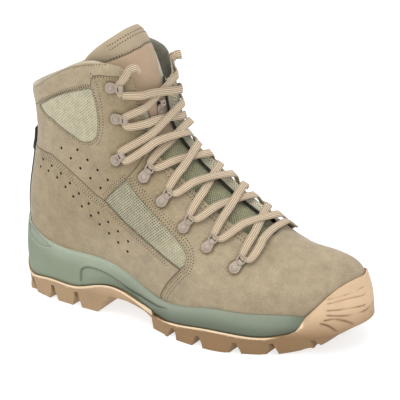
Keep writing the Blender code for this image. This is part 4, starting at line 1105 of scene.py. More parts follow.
def tone_of(points, apart):
    """Lighter on the collar band and the toe, darker on quarter, eyestay, strip, heel, and with painted
    shade round the fittings.
    """
    x, _, z = points.T
    tone = 1 + BAND_LIGHTER * ramp(-apart["band"], 0, 1) + TOE_LIGHTER * ramp(x, 265, 290)
    eyestay = ramp(z, 105, 125) * ramp(x, 105, 90)
    deep = (1 - eyestay) * QUARTER_DARKER + eyestay * EYESTAY_DARKER
    tone -= deep * ramp(x, 45, 80) * ramp(x, 175, 130) * ramp(z, 60, 85) * ramp(apart["band"], 0, 1)
    tone -= STRIP_DARKER * ramp(apart["strip"], 0.5, -0.5)
    tone -= HEEL_DARKER * ramp(x, 75, 50) * ramp(apart["quarter"], 0, -1)
    return tone - METAL_CONTACT_SHADE * ramp(distances(tree_of(*cad(*METALWORK)), points), *METAL_CONTACT_SHADE_REACH)


def measured(mesh):
    """A mesh's corners, normals, outside share and distances to the outlines."""
    points, normals = boot_mm(corners_of(mesh)), corners_of(mesh, "normal")
    apart = {name: outline_distance(points[:, (0, 2)], outline) for name, outline in OUTLINES.items()}
    return points, normals, outside_share(points, normals), apart


def make_upper():
    """The shell with its overlays, seams and holes, and the values that colour it."""
    upper = cad_copy("upper", "leather_upper", 2)

    def near_seams(middles):
        side = middles[:, (0, 2)]
        gaps = [np.abs(outline_distance(side, outline)) for outline in OUTLINES.values()]
        return np.min(gaps, axis=0) < SEAM_NEAR

    refine(upper, near_seams, 2)
    points, normals, out, apart = measured(upper.data)
    set_corners(upper.data, points + normals * (upper_heights(points, apart) * out)[:, None])
    bores = cut_holes(upper)
    mesh = upper.data
    points, normals, out, apart = measured(mesh)
    bored = in_bores(points, bores)
    out[bored] = 1
    cloth = np.minimum(apart["ankle"], apart["strip"])
    keep(mesh, cloth=np.where(out > 0.5, cloth, 9), tape=tape_share(points) * out)
    keep(mesh, tone=tone_of(points, apart), binding=binding_height(points))
    keep(mesh, **{name: np.where(out > 0.3, apart[name], 9) for name in ("quarter", "vamp", "band")})
    mesh.materials.clear()
    lining = cloth_finish("lining_mesh", 0.95, (LINING_PITCH, LINING_COLOUR, LINING_GAP), 0.6, 0.0004)
    # The holes' walls get painted shade.
    bore = plain_finish("hole_painted_shade", HOLE_SHADE_COLOUR, 300.0, 0.2, 2500.0, 0.2, Roughness=1.0)
    for finish in (upper_finish(), lining, bore):
        mesh.materials.append(finish)
    inner = (out < 0.5) & (binding_height(points) < 0.8)
    first = np.zeros(len(mesh.loops), np.int32)
    mesh.loops.foreach_get("vertex_index", first)
    for face in mesh.polygons:
        loops = first[face.loop_start:face.loop_start + face.loop_total]
        face.material_index = 2 if bored[loops].all() else int(inner[loops].mean() > 0.5)
    mesh.shade_smooth()
    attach(upper, "root")
    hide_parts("upper")
    return upper


UPPER = make_upper()


# ------------------------------------------------------------------------------ midsole
# One moulding of firm foam with a skin: a tray round the foot, with a pressed wave under
# the arch and a pressed crescent round the heel cup. It is glued to upper and outsole.
FOAM_COLOUR = (0.180, 0.210, 0.146, 1)
FOAM_PAINTED_LIGHT = (0.30, 0.34, 0.26, 1)
FOAM_SHADE_COLOUR = (0.07, 0.08, 0.05, 1)
WAVE = [
    (64.7, 26.8), (65.4, 33.6), (70.8, 37.2), (81.1, 37.9), (94.4, 35.9), (113.3, 29.4), (132.1, 23.3),
    (142.5, 21.2), (151.3, 21.6),
]
WAVE_DEEP, WAVE_FADES = 1.5, 9      # the hollow grows shallow over this, away from its line
CRESCENT_TOP = [(4, 59), (7.6, 58), (15.4, 54.9), (24.9, 51.1), (34, 45.8)]
CRESCENT_LOW = [(27.6, 44.4), (20.5, 45.1), (12.4, 47.7), (5.1, 50.8)]
CRESCENT_DEEP = 1.2
# Lips round the pressed shapes, and painted shade lines in them: how much, half width, how far in.
WAVE_LIP, CRESCENT_LIP = (0.35, 1.0, -1.4), (0.3, 0.9, -1.2)
WAVE_LINE, CRESCENT_LINE = (0.85, 0.55, 0.35), (0.6, 0.5, 0.3)
MARK_NEAR = 3.2         # the mesh is finer this near a pressed line
# How light the foam is: at the heel, and further forward just over the rubber, where painted shade darkens
# it.
# It is lighter by the rise well above the rubber.
TONE_HEEL, TONE_LOW, TONE_RISE = 1.2, 0.62, 0.33


def foam_finish():
    """Moulded foam: matt, faintly pitted, with painted light where it faces up and along its top rim, and
    painted shade in its pressed lines.
    """
    finish, n = new_finish("midsole_foam_skin", Roughness=0.62, Specular_IOR_Level=0.35)
    normal = n.add("NewGeometry").outputs["Normal"]
    up = n.span(n.add("SeparateXYZ", Vector=normal).outputs["Z"], 0.1, 0.9, 0.0, 0.6)
    # Painted light on faces that look up and along the top rim.
    painted_light = n.span(n.math("ADD", up, n.kept("rim")), 0.0, 1.0)
    base = n.mix(n.kept("crease"), n.mix(painted_light, FOAM_COLOUR, FOAM_PAINTED_LIGHT), FOAM_SHADE_COLOUR)
    colour, _ = blotched(n, n.toned(base, n.kept("tone")), 30.0, 0.12, 1200.0, 0.12)
    n.dress(colour, n.noise(900.0, 3.0), 0.16, 0.0004)
    return finish


def make_midsole():
    """The foam tray with its pressed wave and crescent."""
    midsole = cad_copy("midsole", "midsole_moulding", 2, sharp=48)
    wave, crescent = rounded(WAVE), np.vstack([rounded(CRESCENT_TOP), rounded(CRESCENT_LOW)])
    pressed = np.vstack([wave, [(WAVE[-1][0], -5), (WAVE[0][0], -5)]])

    def near_marks(middles):
        side = middles[:, (0, 2)]
        return np.minimum(line_distance(side, wave), np.abs(outline_distance(side, crescent))) < MARK_NEAR

    refine(midsole, near_marks, 2)
    mesh = midsole.data
    points, normals = boot_mm(corners_of(mesh)), corners_of(mesh, "normal")
    x, y, _ = points.T
    side = points[:, (0, 2)]
    outer = ramp(np.abs(normals[:, 1]) + 0.6 * np.clip(-normals[:, 0], 0, 1), 0.25, 0.55)
    outer = outer * (np.abs(y) > 12) * (np.sign(normals[:, 1]) == np.sign(y))
    inside, cup = -outline_distance(side, pressed), -outline_distance(side, crescent)
    sunk = ramp(inside, -0.5, 0.7) * (WAVE_DEEP - swell(line_distance(side, wave), WAVE_DEEP, WAVE_FADES))
    fade = ramp(x, 156, 140) * ramp(x, 60, 66)
    high = (ridge(inside, *WAVE_LIP) - sunk) * fade
    high += ridge(cup, *CRESCENT_LIP) - CRESCENT_DEEP * ramp(cup, -0.4, 0.9)
    set_corners(mesh, points + normals * (high * outer)[:, None])
    # Painted shade along the pressed lines.
    crease = np.maximum(ridge(inside, *WAVE_LINE) * fade, ridge(cup, *CRESCENT_LINE))
    above = distances(tree_of(*cad("outsole")), points)
    below = distances(tree_of(*cad("upper")), points)
    along = ramp(x, 60, 130)
    # Further forward the foam is darkened low down with painted shade.
    tone = TONE_HEEL * (1 - along) + (TONE_LOW + TONE_RISE * ramp(above, 1, 15)) * along
    # rim is painted light along the foam's top edge, under the upper.
    keep(mesh, crease=crease * outer, tone=tone, rim=0.5 * ramp(below, 6.5, 3.0) * ramp(x, 230, 120))
    mesh.materials.append(foam_finish())
    only(midsole)
    bpy.ops.object.shade_smooth_by_angle(angle=math.radians(50))
    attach(midsole, "root")
    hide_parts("midsole")


make_midsole()


# ------------------------------------------------------------------------------ outsole
# Moulded sand rubber: lugs under heel and forefoot, a bead along its joint with the
# midsole, and a toe bumper that runs up the front with grooves fanned over its corners.
RUBBER_COLOUR = (0.63, 0.44, 0.275, 1)
TREAD_HEEL_SHADE = (0.37, 0.25, 0.14, 1)
TREAD_SHADE_COLOUR = (0.25, 0.15, 0.07, 1)
RUBBER_LIGHT = (0.78, 0.60, 0.40, 1)
RUBBER_GROOVE_SHADE = (0.19, 0.115, 0.06, 1)
BEAD_HIGH = 0.45
# The sole's underside before the first front lug, as cut and as it is moulded.
ARCH_CUT = [(93, 17.2), (108, 15.2), (120, 13), (131, 7.5), (141, 3.5), (152, 1.5), (158, 0)]
ARCH_MOULDED = [
    (93, 17.2), (101, 17.4), (109, 17.3), (119, 15.7), (128.8, 13), (135.6, 9.8), (137, 0.8), (152, 0.3),
    (158, 0),
]
ARCH_ROOT = 22.0        # above this nothing moves
ARCH_STEP = 136.5       # the first front lug's back wall
NOTCHES = (6.5, 32, 57, 157, 182.5, 214, 240, 267)
NOTCH_CHAMFER = 2.0
# Grooves over the bumper's outer corner: points, depth and half width.
BUMPER_GROOVES = [
    ([(277.2, -30.5, 28.3), (282.1, -27.1, 26.1), (287.5, -23.0, 20.5)], 1.7, 0.75),
    ([(279.6, -28.7, 30.7), (285.3, -24.5, 31.2), (290.6, -17.7, 28.3), (294.8, -11.0, 23.5)], 1.5, 0.75),
    ([(281, -27.2, 34.8), (291.8, -15.7, 32.1), (296.1, -9.0, 31.8), (299.2, 0, 30.7)], 1.1, 0.7),
    ([(281, -26.6, 38.4), (291.8, -15.4, 37.5), (299.0, 0, 35.4)], 0.9, 0.65),
    ([(281, -25.2, 43.4), (291.0, -13.7, 44.8), (298.6, 0, 43.6)], 0.6, 0.6),
    ([(281, -24.6, 46.8), (293.7, -8.2, 48.6), (296, 0, 49.2)], 0.45, 0.6),
]
BUMPER_FROM = 270       # no groove starts further back than this
GROOVE_NEAR = 2.6
INNER_STRETCH = 1.25    # the inner corner of the toe stands this much wider


def rubber_finish():
    """Dry rubber: warm sand, paler on the bead, with painted shade low on the lugs and down in the grooves.
    """
    finish, n = new_finish("sand_rubber", Roughness=0.68, Specular_IOR_Level=0.3)
    parts = n.add("SeparateXYZ", Vector=n.place).outputs
    # Painted shade darkens the rubber low down on the lugs, less under the heel.
    lug_shade = n.mix(n.span(parts["X"], -0.06, 0.02), TREAD_HEEL_SHADE, TREAD_SHADE_COLOUR)
    base = n.mix(n.span(parts["Z"], 0.036, 0.016), RUBBER_COLOUR, lug_shade)
    base = n.mix(n.kept("groove"), n.mix(n.kept("bead"), base, RUBBER_LIGHT), RUBBER_GROOVE_SHADE)
    colour, _ = blotched(n, base, 40.0, 0.16, 700.0, 0.10)
    n.dress(colour, n.noise(1500.0, 3.0), 0.14, 0.0003)
    return finish


def reshape_lugs(points):
    """Moulds the arch, and cuts the lugs' corners off slantwise beside each notch."""
    x, y, z = points.T      # views, so a change to one changes the points
    old, new = read_table(ARCH_CUT, x), read_table(ARCH_MOULDED, x)
    share = np.clip((ARCH_ROOT - z) / (ARCH_ROOT - old), 0, 1)
    z += share * (new - old) * (x > ARCH_CUT[0][0]) * (x < ARCH_CUT[-1][0])
    for notch in NOTCHES:
        off = x - notch
        reach = ramp(np.abs(off), 7.5, 2.5) * ramp(z, 9, 1) * ramp(np.abs(y), 20, 27)
        x += np.sign(off) * NOTCH_CHAMFER * reach
    z[:] = np.maximum(z, 0)


def make_outsole():
    """The rubber sole with its arch, lugs, bead and grooved bumper."""
    outsole = cad_copy("outsole", "outsole_rubber_tread", 2, join_angle=35.0, sharp=32)
    rubber = tree_of(*cad("outsole"))
    grooves = []
    for line, deep, half in BUMPER_GROOVES:
        for stretch in (1.0, -INNER_STRETCH):
            way = [rubber.find_nearest(Vector(point) * Vector((1, stretch, 1)))[0] for point in line]
            grooves.append((spline(way, 1.0)[0], deep, half))

    def arch(middles):
        return (np.abs(middles[:, 0] - ARCH_STEP) < 8) & (middles[:, 2] < 20)

    def lug_ends(middles):
        near = np.min(np.abs(middles[:, :1] - np.array(NOTCHES)[None]), axis=1)
        return (near < 6) & (middles[:, 2] < 13) & (np.abs(middles[:, 1]) > 18)

    def bumper(middles):
        return (middles[:, 0] > 262) & (middles[:, 2] > 8)

    def near_grooves(middles):
        front = middles[:, 0] > BUMPER_FROM + 2
        near = np.full(len(middles), 1e9)
        near[front] = np.min([line_distance(middles[front], line) for line, _, _ in grooves], axis=0)
        return near < GROOVE_NEAR

    for wanted, rounds in ((arch, 2), (lug_ends, 1), (bumper, 1), (near_grooves, 2)):
        refine(outsole, wanted, rounds)
    mesh = outsole.data
    points = boot_mm(corners_of(mesh))
    reshape_lugs(points)
    set_corners(mesh, points)
    normals = corners_of(mesh, "normal")
    level = unit(points - core_of(points)) * (1, 1, 0)
    outer = ramp(np.einsum("ij,ij->i", level, normals), 0.2, 0.5)
    to_foam = distances(tree_of(*cad("midsole")), points)
    bead = ramp(to_foam, 2.3, 1.5) * outer * (points[:, 2] < 40)
    dark, high = np.zeros(len(points)), BEAD_HIGH * bead
    front = points[:, 0] > BUMPER_FROM
    # Each groove is pressed in and gets painted shade along it.
    for line, deep, half in grooves:
        well = ridge(line_distance(points[front], line), 1.0, half)
        high[front] -= deep * well * outer[front]
        dark[front] = np.maximum(dark[front], well * min(1.0, 0.25 + 0.4 * deep))
    points += normals * high[:, None]
    points[:, 2] = np.maximum(points[:, 2], 0)
    set_corners(mesh, points)
    keep(mesh, bead=bead, groove=dark * outer)
    mesh.materials.append(rubber_finish())
    only(outsole)
    bpy.ops.object.shade_smooth_by_angle(angle=math.radians(36))
    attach(outsole, "root")
    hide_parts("outsole")


make_outsole()


# ------------------------------------------------------------------------------- insole
# A felt-topped footbed that lies loose on the midsole inside the upper.
FELT_COLOUR = (0.115, 0.105, 0.085, 1)


def make_insole():
    """The footbed under its felt."""
    footbed = cad_copy("insole", "felt_footbed", 2, sharp=50)
    finish, n = new_finish("grey_felt", Roughness=0.95, Sheen_Weight=0.3)
    n.dress(*blotched(n, FELT_COLOUR, 90.0, 0.3, 1800.0, 0.35), 0.5, 0.0005)
    footbed.data.materials.append(finish)
    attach(footbed, "root")
    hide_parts("insole")


make_insole()


# -------------------------------------------------------------------------------- tongue
# A padded tongue sewn in under the throat: green woven cloth low down, a suede strip up
# its middle between speckled tapes, and a padded suede cuff turned over its top edge.
STRIP_COLOUR = (0.40, 0.285, 0.190, 1)
CUFF_COLOUR = (0.385, 0.305, 0.205, 1)
GREEN_LIGHT = (0.31, 0.295, 0.18, 1)
GREEN_GAP = (0.055, 0.055, 0.028, 1)
GREEN_TOP = 140.5
SIDE_TAPE_PITCH = 1.9
GREEN_PITCH = 2.3
# The cuff's seam, a height for each distance off the middle line.
CUFF_SEAM = [(0, 216.2), (12, 214.4), (19.4, 210.9), (23.5, 207.8), (26.1, 204.8), (32, 197)]
# The suede strip's two edges, each a side place for each height.
STRIP_OUTER = [(140, -9.5), (143.6, -9.9), (157.8, -11.3), (166, -12.8), (172, -15), (181, -26), (186, -40)]
STRIP_INNER = [
    (140, 10), (150, 12), (161.3, 14.8), (169.9, 13.5), (180.6, 10.4), (189.3, 8.2), (201, 8.6),
    (212.7, 10.3),
]
# Soft cross folds where the tongue bends with the ankle: height, depth and half width.
TONGUE_FOLDS = ((176, 0.5, 6.0), (152, 0.45, 5.0), (119, 0.4, 5.0), (98, 0.35, 4.5))
STRIP_PROUD = 0.5       # the suede strip stands this far off the cloth
CUFF_GROOVE = (0.7, 1.1)            # depth and half width of the cuff's seam
CUFF_PUFF, CUFF_FRONT, CUFF_REACH = 0.6, 0.9, 5     # padding all round, more in front


def tongue_finish():
    """Cloth, tape, suede strip and cuff, told apart by the distances kept on the mesh, with painted shade
    along the strip's and the cuff's edges.
    """
    finish, n = new_finish(
        "tongue_cloth_and_suede",
        Roughness=0.9, Specular_IOR_Level=0.25, Sheen_Weight=0.2, Sheen_Roughness=0.45,
    )
    tape, tape_high = woven(n, SIDE_TAPE_PITCH, TAPE_LIGHT, TAPE_DARK, (0, 0.25, math.pi / 2))
    green, green_high = woven(n, GREEN_PITCH, GREEN_LIGHT, GREEN_GAP, ACROSS_THROAT)
    in_cloth = n.span(n.kept("cloth"), -0.15, 0.15)
    last, high = n.mix(in_cloth, tape, green), n.blend(in_cloth, tape_high, green_high)
    nap = n.noise(160.0, 5.0)
    # Painted shade darkens the suede near the strip's and the cuff's edges.
    for name, tint in (("strip", STRIP_COLOUR), ("cuff", CUFF_COLOUR)):
        inside = n.span(n.kept(name), -0.15, 0.15)
        shade = n.span(n.math("ABSOLUTE", n.kept(name)), 0.2, 1.0, 0.45, 1.0)
        suede, _ = blotched(n, tint, 45.0, 0.16, 1500.0, 0.16)
        last, high = n.toned(n.mix(inside, last, suede), shade), n.blend(inside, high, nap)
    lining, _ = woven(n, LINING_PITCH, LINING_COLOUR, LINING_GAP)
    n.dress(n.mix(n.span(n.kept("back"), -0.15, 0.15), last, lining), high, 0.35, 0.0003)
    return finish


def make_tongue():
    """The padded tongue with its strip, cuff and folds."""
    tongue = cad_copy("tongue", "tongue_padded", 3)
    mesh = tongue.data
    points, normals = boot_mm(corners_of(mesh)), corners_of(mesh, "normal")
    _, y, z = points.T
    front = outside_share(points, normals)
    strip = np.minimum(y - read_table(STRIP_OUTER, z), read_table(STRIP_INNER, z) - y)
    strip = np.minimum(strip, z - GREEN_TOP)
    cuff = z - read_table(CUFF_SEAM, np.abs(y))
    high = front * (STRIP_PROUD * ramp(strip, -0.4, 0.4) - ridge(cuff, *CUFF_GROOVE))
    high += swell(cuff, CUFF_PUFF + CUFF_FRONT * front, CUFF_REACH)
    for at, deep, half in TONGUE_FOLDS:
        high -= front * ridge(z + 0.15 * y, deep, half, at)
    set_corners(mesh, points + normals * high[:, None])
    keep(mesh, cloth=GREEN_TOP - z, strip=np.where(cuff < 0, strip, -9), cuff=cuff)
    keep(mesh, back=np.where(cuff > 0, -1, 0.5 - front))
    mesh.materials.append(tongue_finish())
    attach(tongue, "root")
    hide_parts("tongue")
    return tongue


TONGUE = make_tongue()


# ------------------------------------------------------------------------------ stitching
# Khaki thread in rows along every sewn edge. Each stitch is a short bead of thread pulled
# into the leather between two needle holes, which are dark beads of painted shade.
THREAD_COLOUR = (0.40, 0.33, 0.215, 1)
STITCH_PITCH = 2.3
THREAD_WIDE = 0.62
NEEDLE_WIDE = 0.54
NEEDLE_SHADE_COLOUR = (0.055, 0.037, 0.020, 1)
# Rows in side view, sewn on both sides: a line and how far off it each row lies, with
# plus to the left of the line's run.
SIDE_ROWS = [
    (QUARTER_TOP + STRIP_LOWER[-1:], (-1.5, -3.7, -5.9)),
    (STRIP_LOWER, (1.7, 4.3)),
    (STRIP_UPPER + QUARTER_FRONT, (1.7, 4.0, 6.3)),
    (STRIP_LOWER[-1:] + STRIP_END + STRIP_UPPER[:1], (1.6, 3.6)),
    (ANKLE_CLOTH + ANKLE_CLOTH[:1], (1.5,)),
    (EYESTAY_EDGE[::-1], (-1.7,)),
    (EYESTAY_TOP, (-1.5,)),
    (BAND_EDGE[1:], (1.3,)),
    (COLLAR_LINE[1:-2], (-1.2,)),
]
THROAT_ROWS = (2.2, 4.6)
THROAT_EDGES = {-1: 21.2, 1: THROAT_HALF}   # leather ends here on the outer and inner side
THROAT_LINE = [(118, 200), (117, 174), (124, 145), (133, 129), (160, 108), (190, 91), (212, 79)]
DOWN_THROAT = np.array((-0.6, 0, -0.8))     # the way one looks at the throat from above
THROAT_PROBE = 80.0
CUFF_HALF = 24.0        # rows on the cuff run this far to each side
CUFF_ROWS = (3.0, 5.4)
ROW_REACH = 150.0       # rays that lay a row out go no further
# Thread, and the needle holes' painted shade: colour, and a bead's half sizes along, across and up.
STITCHES = {
    "sewing_thread": (THREAD_COLOUR, (STITCH_PITCH * 0.36, THREAD_WIDE / 2, 0.24)),
    "needle_hole_shade": (NEEDLE_SHADE_COLOUR, (NEEDLE_WIDE, NEEDLE_WIDE, 0.12)),
}


def beside_line(line, off):
    """A line moved sideways in side view, without its own overlaps."""
    smooth = rounded(line, step=0.8)
    run = unit(np.gradient(smooth, axis=0))
    moved = smooth + off * np.column_stack([-run[:, 1], run[:, 0]])
    return moved[line_distance(moved, smooth) > abs(off) - 0.15]


def cast_row(tree, starts, direction):
    """Where rays meet a surface, in order, with the surface's normals."""
    found = [tree.ray_cast(Vector(start), Vector(direction), ROW_REACH)[:2] for start in starts]
    found = [(np.array(hit), np.array(normal)) for hit, normal in found if hit is not None]
    return np.array([hit for hit, _ in found]), np.array([normal for _, normal in found])


def evenly(spots, ups, pitch, phase):
    """Stitch places along a row, a share of a pitch along it: middle, run and normal of each."""
    along = run_along(spots)
    count = int(along[-1] / pitch)
    at = (np.arange(count) + phase) * along[-1] / count
    place, up = between(at, along, spots), between(at, along, ups)
    ahead = between(at + 0.4, along, spots) - place
    return place, unit(ahead - up * np.einsum("ij,ij->i", ahead, up)[:, None]), unit(up)


def bead_shape():
    """Corners and faces of a small ball of radius one, long on x."""
    bpy.ops.object.select_all(action="DESELECT")
    bpy.ops.mesh.primitive_uv_sphere_add(segments=6, ring_count=4, radius=1)
    ball = bpy.context.object
    corners = corners_of(ball.data)[:, (2, 1, 0)] * (1, -1, 1)
    faces = [list(face.vertices) for face in ball.data.polygons]
    bpy.data.objects.remove(ball, do_unlink=True)
    return corners, faces


def copies(name, places, runs, ups, size):
    """One object holding a scaled bead at every place."""
    corners, faces = bead_shape()
    ways = np.stack([runs, np.cross(ups, runs), ups], axis=1)
    points = np.einsum("ca,pak->pck", corners * size, ways) + places[:, None]
    faces = [[corner + k * len(corners) for corner in face] for k in range(len(places)) for face in faces]
    return build(name, points.reshape(-1, 3), faces)


def stitch_rows():
    """Every row's places on leather and tongue, with the normals there."""
    upper, tongue = tree_of(UPPER.data), tree_of(TONGUE.data)
    rows = []
    for line, offs in SIDE_ROWS:
        for off in offs:
            way = beside_line(line, off)
            for side in (-1, 1):
                rows.append(cast_row(upper, [(x, side * PROBE, z) for x, z in way], (0, -side, 0)))
    for off in THROAT_ROWS:
        for side in (-1, 1):
            way = [(x, side * (THROAT_EDGES[side] + off), z) for x, z in rounded(THROAT_LINE)]
            rows.append(cast_row(upper, np.array(way) - THROAT_PROBE * DOWN_THROAT, DOWN_THROAT))
    # Two rows round the cuff's top edge, and the row that sews the cuff on.
    edge = boot_mm(corners_of(TONGUE.data))
    sides = np.linspace(-CUFF_HALF, CUFF_HALF, 33)
    top = np.array([edge[np.abs(edge[:, 1] - y) < 1.2, 2].max() for y in sides])
    for heights in (top - CUFF_ROWS[0], top - CUFF_ROWS[1], read_table(CUFF_SEAM, np.abs(sides)) + 0.9):
        rows.append(cast_row(tongue, [(200, y, z) for y, z in zip(sides, heights)], (-1, 0, 0)))
    return rows


def sew():
    """Threads, and needle holes as painted shade, along every row, each as one joined mesh."""
    beads = {name: [] for name in STITCHES}
    for number, (spots, ups) in enumerate(stitch_rows()):
        # A row stops where the surface falls away under it.
        jump = np.linalg.norm(np.diff(spots, axis=0), axis=1)
        breaks = np.flatnonzero(jump > 5 * np.median(jump) + 0.5) + 1
        for part in np.split(np.arange(len(spots)), breaks):
            if len(part) > 5:
                phase = 0.3 + 0.5 * (number // 2 % 2)
                places, runs, normals = evenly(spots[part], ups[part], STITCH_PITCH, phase)
                beads["sewing_thread"].append((places, runs, normals))
                beads["needle_hole_shade"].append((places + runs * STITCH_PITCH / 2, runs, normals))
    for name, (colour, size) in STITCHES.items():
        piece = copies(name, *[np.vstack(each) for each in zip(*beads[name])], size)
        piece.data.materials.append(plain_finish(name, colour, 200.0, 0.25, 3000.0, 0.2, Roughness=0.85))
        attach(piece, "root")


sew()


# ------------------------------------------------------------------------------ back stay
# A dark webbing strip sewn up the middle of the heel over the back seam. Its upper part
# is a doubled tab.
STAY_LOW, STAY_HIGH = 62.0, 137.5
STAY_WIDE = 35.0
STAY_THICK = 0.6
STAY_TAB = 120.0        # above this it is doubled
STAY_PITCH = 1.4
STAY_COLOUR = (0.028, 0.027, 0.022, 1)
STAY_GAP = (0.008, 0.008, 0.007, 1)


def grid(name, across, along):
    """A square grid with corners from -1 to 1."""
    bpy.ops.object.select_all(action="DESELECT")
    bpy.ops.mesh.primitive_grid_add(x_subdivisions=across, y_subdivisions=along, size=2)
    made = bpy.context.object
    made.name = name
    return made


def make_back_stay():
    """The strip laid on the heel, with its doubled tab standing prouder."""
    tree = tree_of(UPPER.data)
    stay = grid("back_stay_webbing", 28, 60)
    placed = []
    for across, up, _ in corners_of(stay.data):
        z = STAY_LOW + (STAY_HIGH - STAY_LOW) * (up + 1) / 2
        hit, normal, _, _ = tree.ray_cast(Vector((-PROBE, across * STAY_WIDE / 2, z)), Vector((1, 0, 0)))
        proud = (0.6 + 1.3 * ramp(z, STAY_TAB - 1, STAY_TAB + 1)) * ramp(1 - abs(across), -0.01, 0.03)
        placed.append(np.array(hit) + np.array(normal) * (proud + 0.05))
    set_corners(stay.data, placed)
    modify(stay, ("SOLIDIFY", {"thickness": STAY_THICK * MM, "offset": -1}))
    stay.data.shade_smooth()
    weave = (STAY_PITCH, STAY_COLOUR, STAY_GAP)
    stay.data.materials.append(cloth_finish("dark_webbing", 0.85, weave, 0.3, 0.0003))
    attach(stay, "root")


make_back_stay()


# ---------------------------------------------------------------------------- throat tape
# Speckled woven tape sewn under the inner side of the throat. It carries that side's
# rings and reaches a little way out over the tongue.
TAPE_WAY = [(116, 181), (119, 160), (125, 143), (134, 128.5), (160, 108), (190, 91), (207, 82)]
TAPE_REACH = 21.0
TAPE_THICK = 1.3
TAPE_SHADOW = (0.03, 0.03, 0.022, 1)    # painted shadow along its free edge
TAPE_LIFT = 2.2         # its free edge stands this far off the tongue
TAPE_CLEAR = 0.1        # and all of it stands at least this far off
TAPE_STIFF = 6          # how many times it is evened out


def tape_finish():
    """Speckled weave, with painted shadow along the free edge."""
    finish, n = new_finish("speckled_tape", Roughness=0.9)
    colour, height = woven(n, TAPE_PITCH, TAPE_LIGHT, TAPE_DARK, ACROSS_THROAT)
    n.dress(n.mix(n.kept("free_edge"), colour, TAPE_SHADOW), height, 0.4, 0.0003)
    return finish


def make_throat_tape():
    """The tape laid on leather and tongue, as seen from above the throat."""
    trees = (tree_of(UPPER.data), tree_of(TONGUE.data))
    way = rounded(TAPE_WAY, step=1.0)
    tape = grid("throat_tape_inner", 16, 90)
    shares = (corners_of(tape.data) + 1) / 2
    steps = [np.unique(np.round(shares[:, axis], 4)) for axis in (0, 1)]
    where = [np.searchsorted(steps[axis], shares[:, axis] - 0.001) for axis in (0, 1)]
    starts = np.zeros((len(steps[0]), len(steps[1]), 3))
    drop = np.zeros(starts.shape[:2])
    for i, across in enumerate(steps[0]):
        for j, along in enumerate(steps[1]):
            x, z = way[int(round(along * (len(way) - 1)))]
            starts[i, j] = (x, THROAT_HALF - across * TAPE_REACH, z) - THROAT_PROBE * DOWN_THROAT
            found = [tree.ray_cast(Vector(starts[i, j]), Vector(DOWN_THROAT))[3] for tree in trees]
            drop[i, j] = min(fall for fall in found if fall is not None)
    drop -= TAPE_THICK / 2 + TAPE_CLEAR + TAPE_LIFT * steps[0][:, None] ** 2
    # The tape is stiff, so it bridges hollows: it is evened out and never sinks back.
    laid = drop.copy()
    for _ in range(TAPE_STIFF):
        laid[1:-1] = np.minimum(drop[1:-1], (laid[:-2] + 2 * laid[1:-1] + laid[2:]) / 4)
    laid[:, 1:-1] = (laid[:, :-2] + laid[:, 1:-1] + laid[:, 2:]) / 3
    placed = starts + laid[:, :, None] * DOWN_THROAT
    set_corners(tape.data, placed[where[0], where[1]])
    keep(tape.data, free_edge=ramp(shares[:, 0], 0.9, 0.97))
    modify(tape, ("SOLIDIFY", {"thickness": TAPE_THICK * MM, "offset": 0}))
    face_outward(tape)
    bpy.ops.object.shade_smooth_by_angle(angle=math.radians(50))
    tape.data.materials.append(tape_finish())
    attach(tape, "root")
    return tape


TAPE = make_throat_tape()


# -------------------------------------------------------------------- lace between turns
# One lace zigzags up the boot. It goes through every ring and hook, where it is pinched
# and folds back, and the strands of one hand pass over those of the other.
LACE_ORDER = "i8 o7 i6 o5 i4 o3 i2 o1 i1 o2 i3 o4 i5 o6 i7 o8".split()
OVER_FROM = 8           # from this turn on, the strands lie on top where they cross
CROSS_CLEAR = 0.6
CROSS_ROUND = 0.6
TWIST_REACH = {"o": 14.0, "i": 7.0}     # the lace turns to face a fitting over this
BAR_STEPS = 28
BAR_ENDS = 4            # steps at each end that the turn takes the place of
BESIDE_WIDE = 5.8
LOOSER = 1.4            # the inner side's fittings pinch the lace this much less
BULGE_AT = 8.0          # a strand swings out most this far from a turn
# How far it swings there, and the share of the seat's spread, each below the turn and above.
BULGE = {"o": (4.2, 2.2), "i": (3.0, 2.6)}
SPREAD_SHARE = {"o": (1.0, 0.5), "i": (0.8, 0.7)}
LACE_BED = tree_of(*cad("upper", "tongue"), TAPE.data)


def surface_rise(point, front):
    """How far leather or tongue stands above a point."""
    hit, _, _, _ = LACE_BED.ray_cast(Vector(point + front * PROBE), Vector(-front))
    return 0.0 if hit is None else max(0.0, np.dot(np.array(hit) - point, front))


def taut(at, heights):
    """Which heights a line stretched over all of them would touch."""
    touched = [0]
    for k in range(1, len(at)):
        while len(touched) > 1:
            a, b = touched[-2:]
            if (heights[b] - heights[a]) * (at[k] - at[a]) > (heights[k] - heights[a]) * (at[b] - at[a]):
                break
            touched.pop()
        touched.append(k)
    return touched


def pushed(points, facing, aside):
    """Points moved out until the cord's width is clear of what it lies on."""
    points = points.copy()
    for _ in range(12):
        for k, point in enumerate(points):
            short = 0.0
            for shift in (-0.5, 0, 0.5):
                at = Vector(point + aside[k] * shift * LACE_WIDE)
                away = np.array(at - LACE_BED.find_nearest(at)[0])
                gap = np.linalg.norm(away) * (-1 if np.dot(away, facing[k]) < 0 else 1)
                short = max(short, LACE_CLEAR + LACE_THICK / 2 - gap)
            points[k] += facing[k] * short * 0.7
    return points


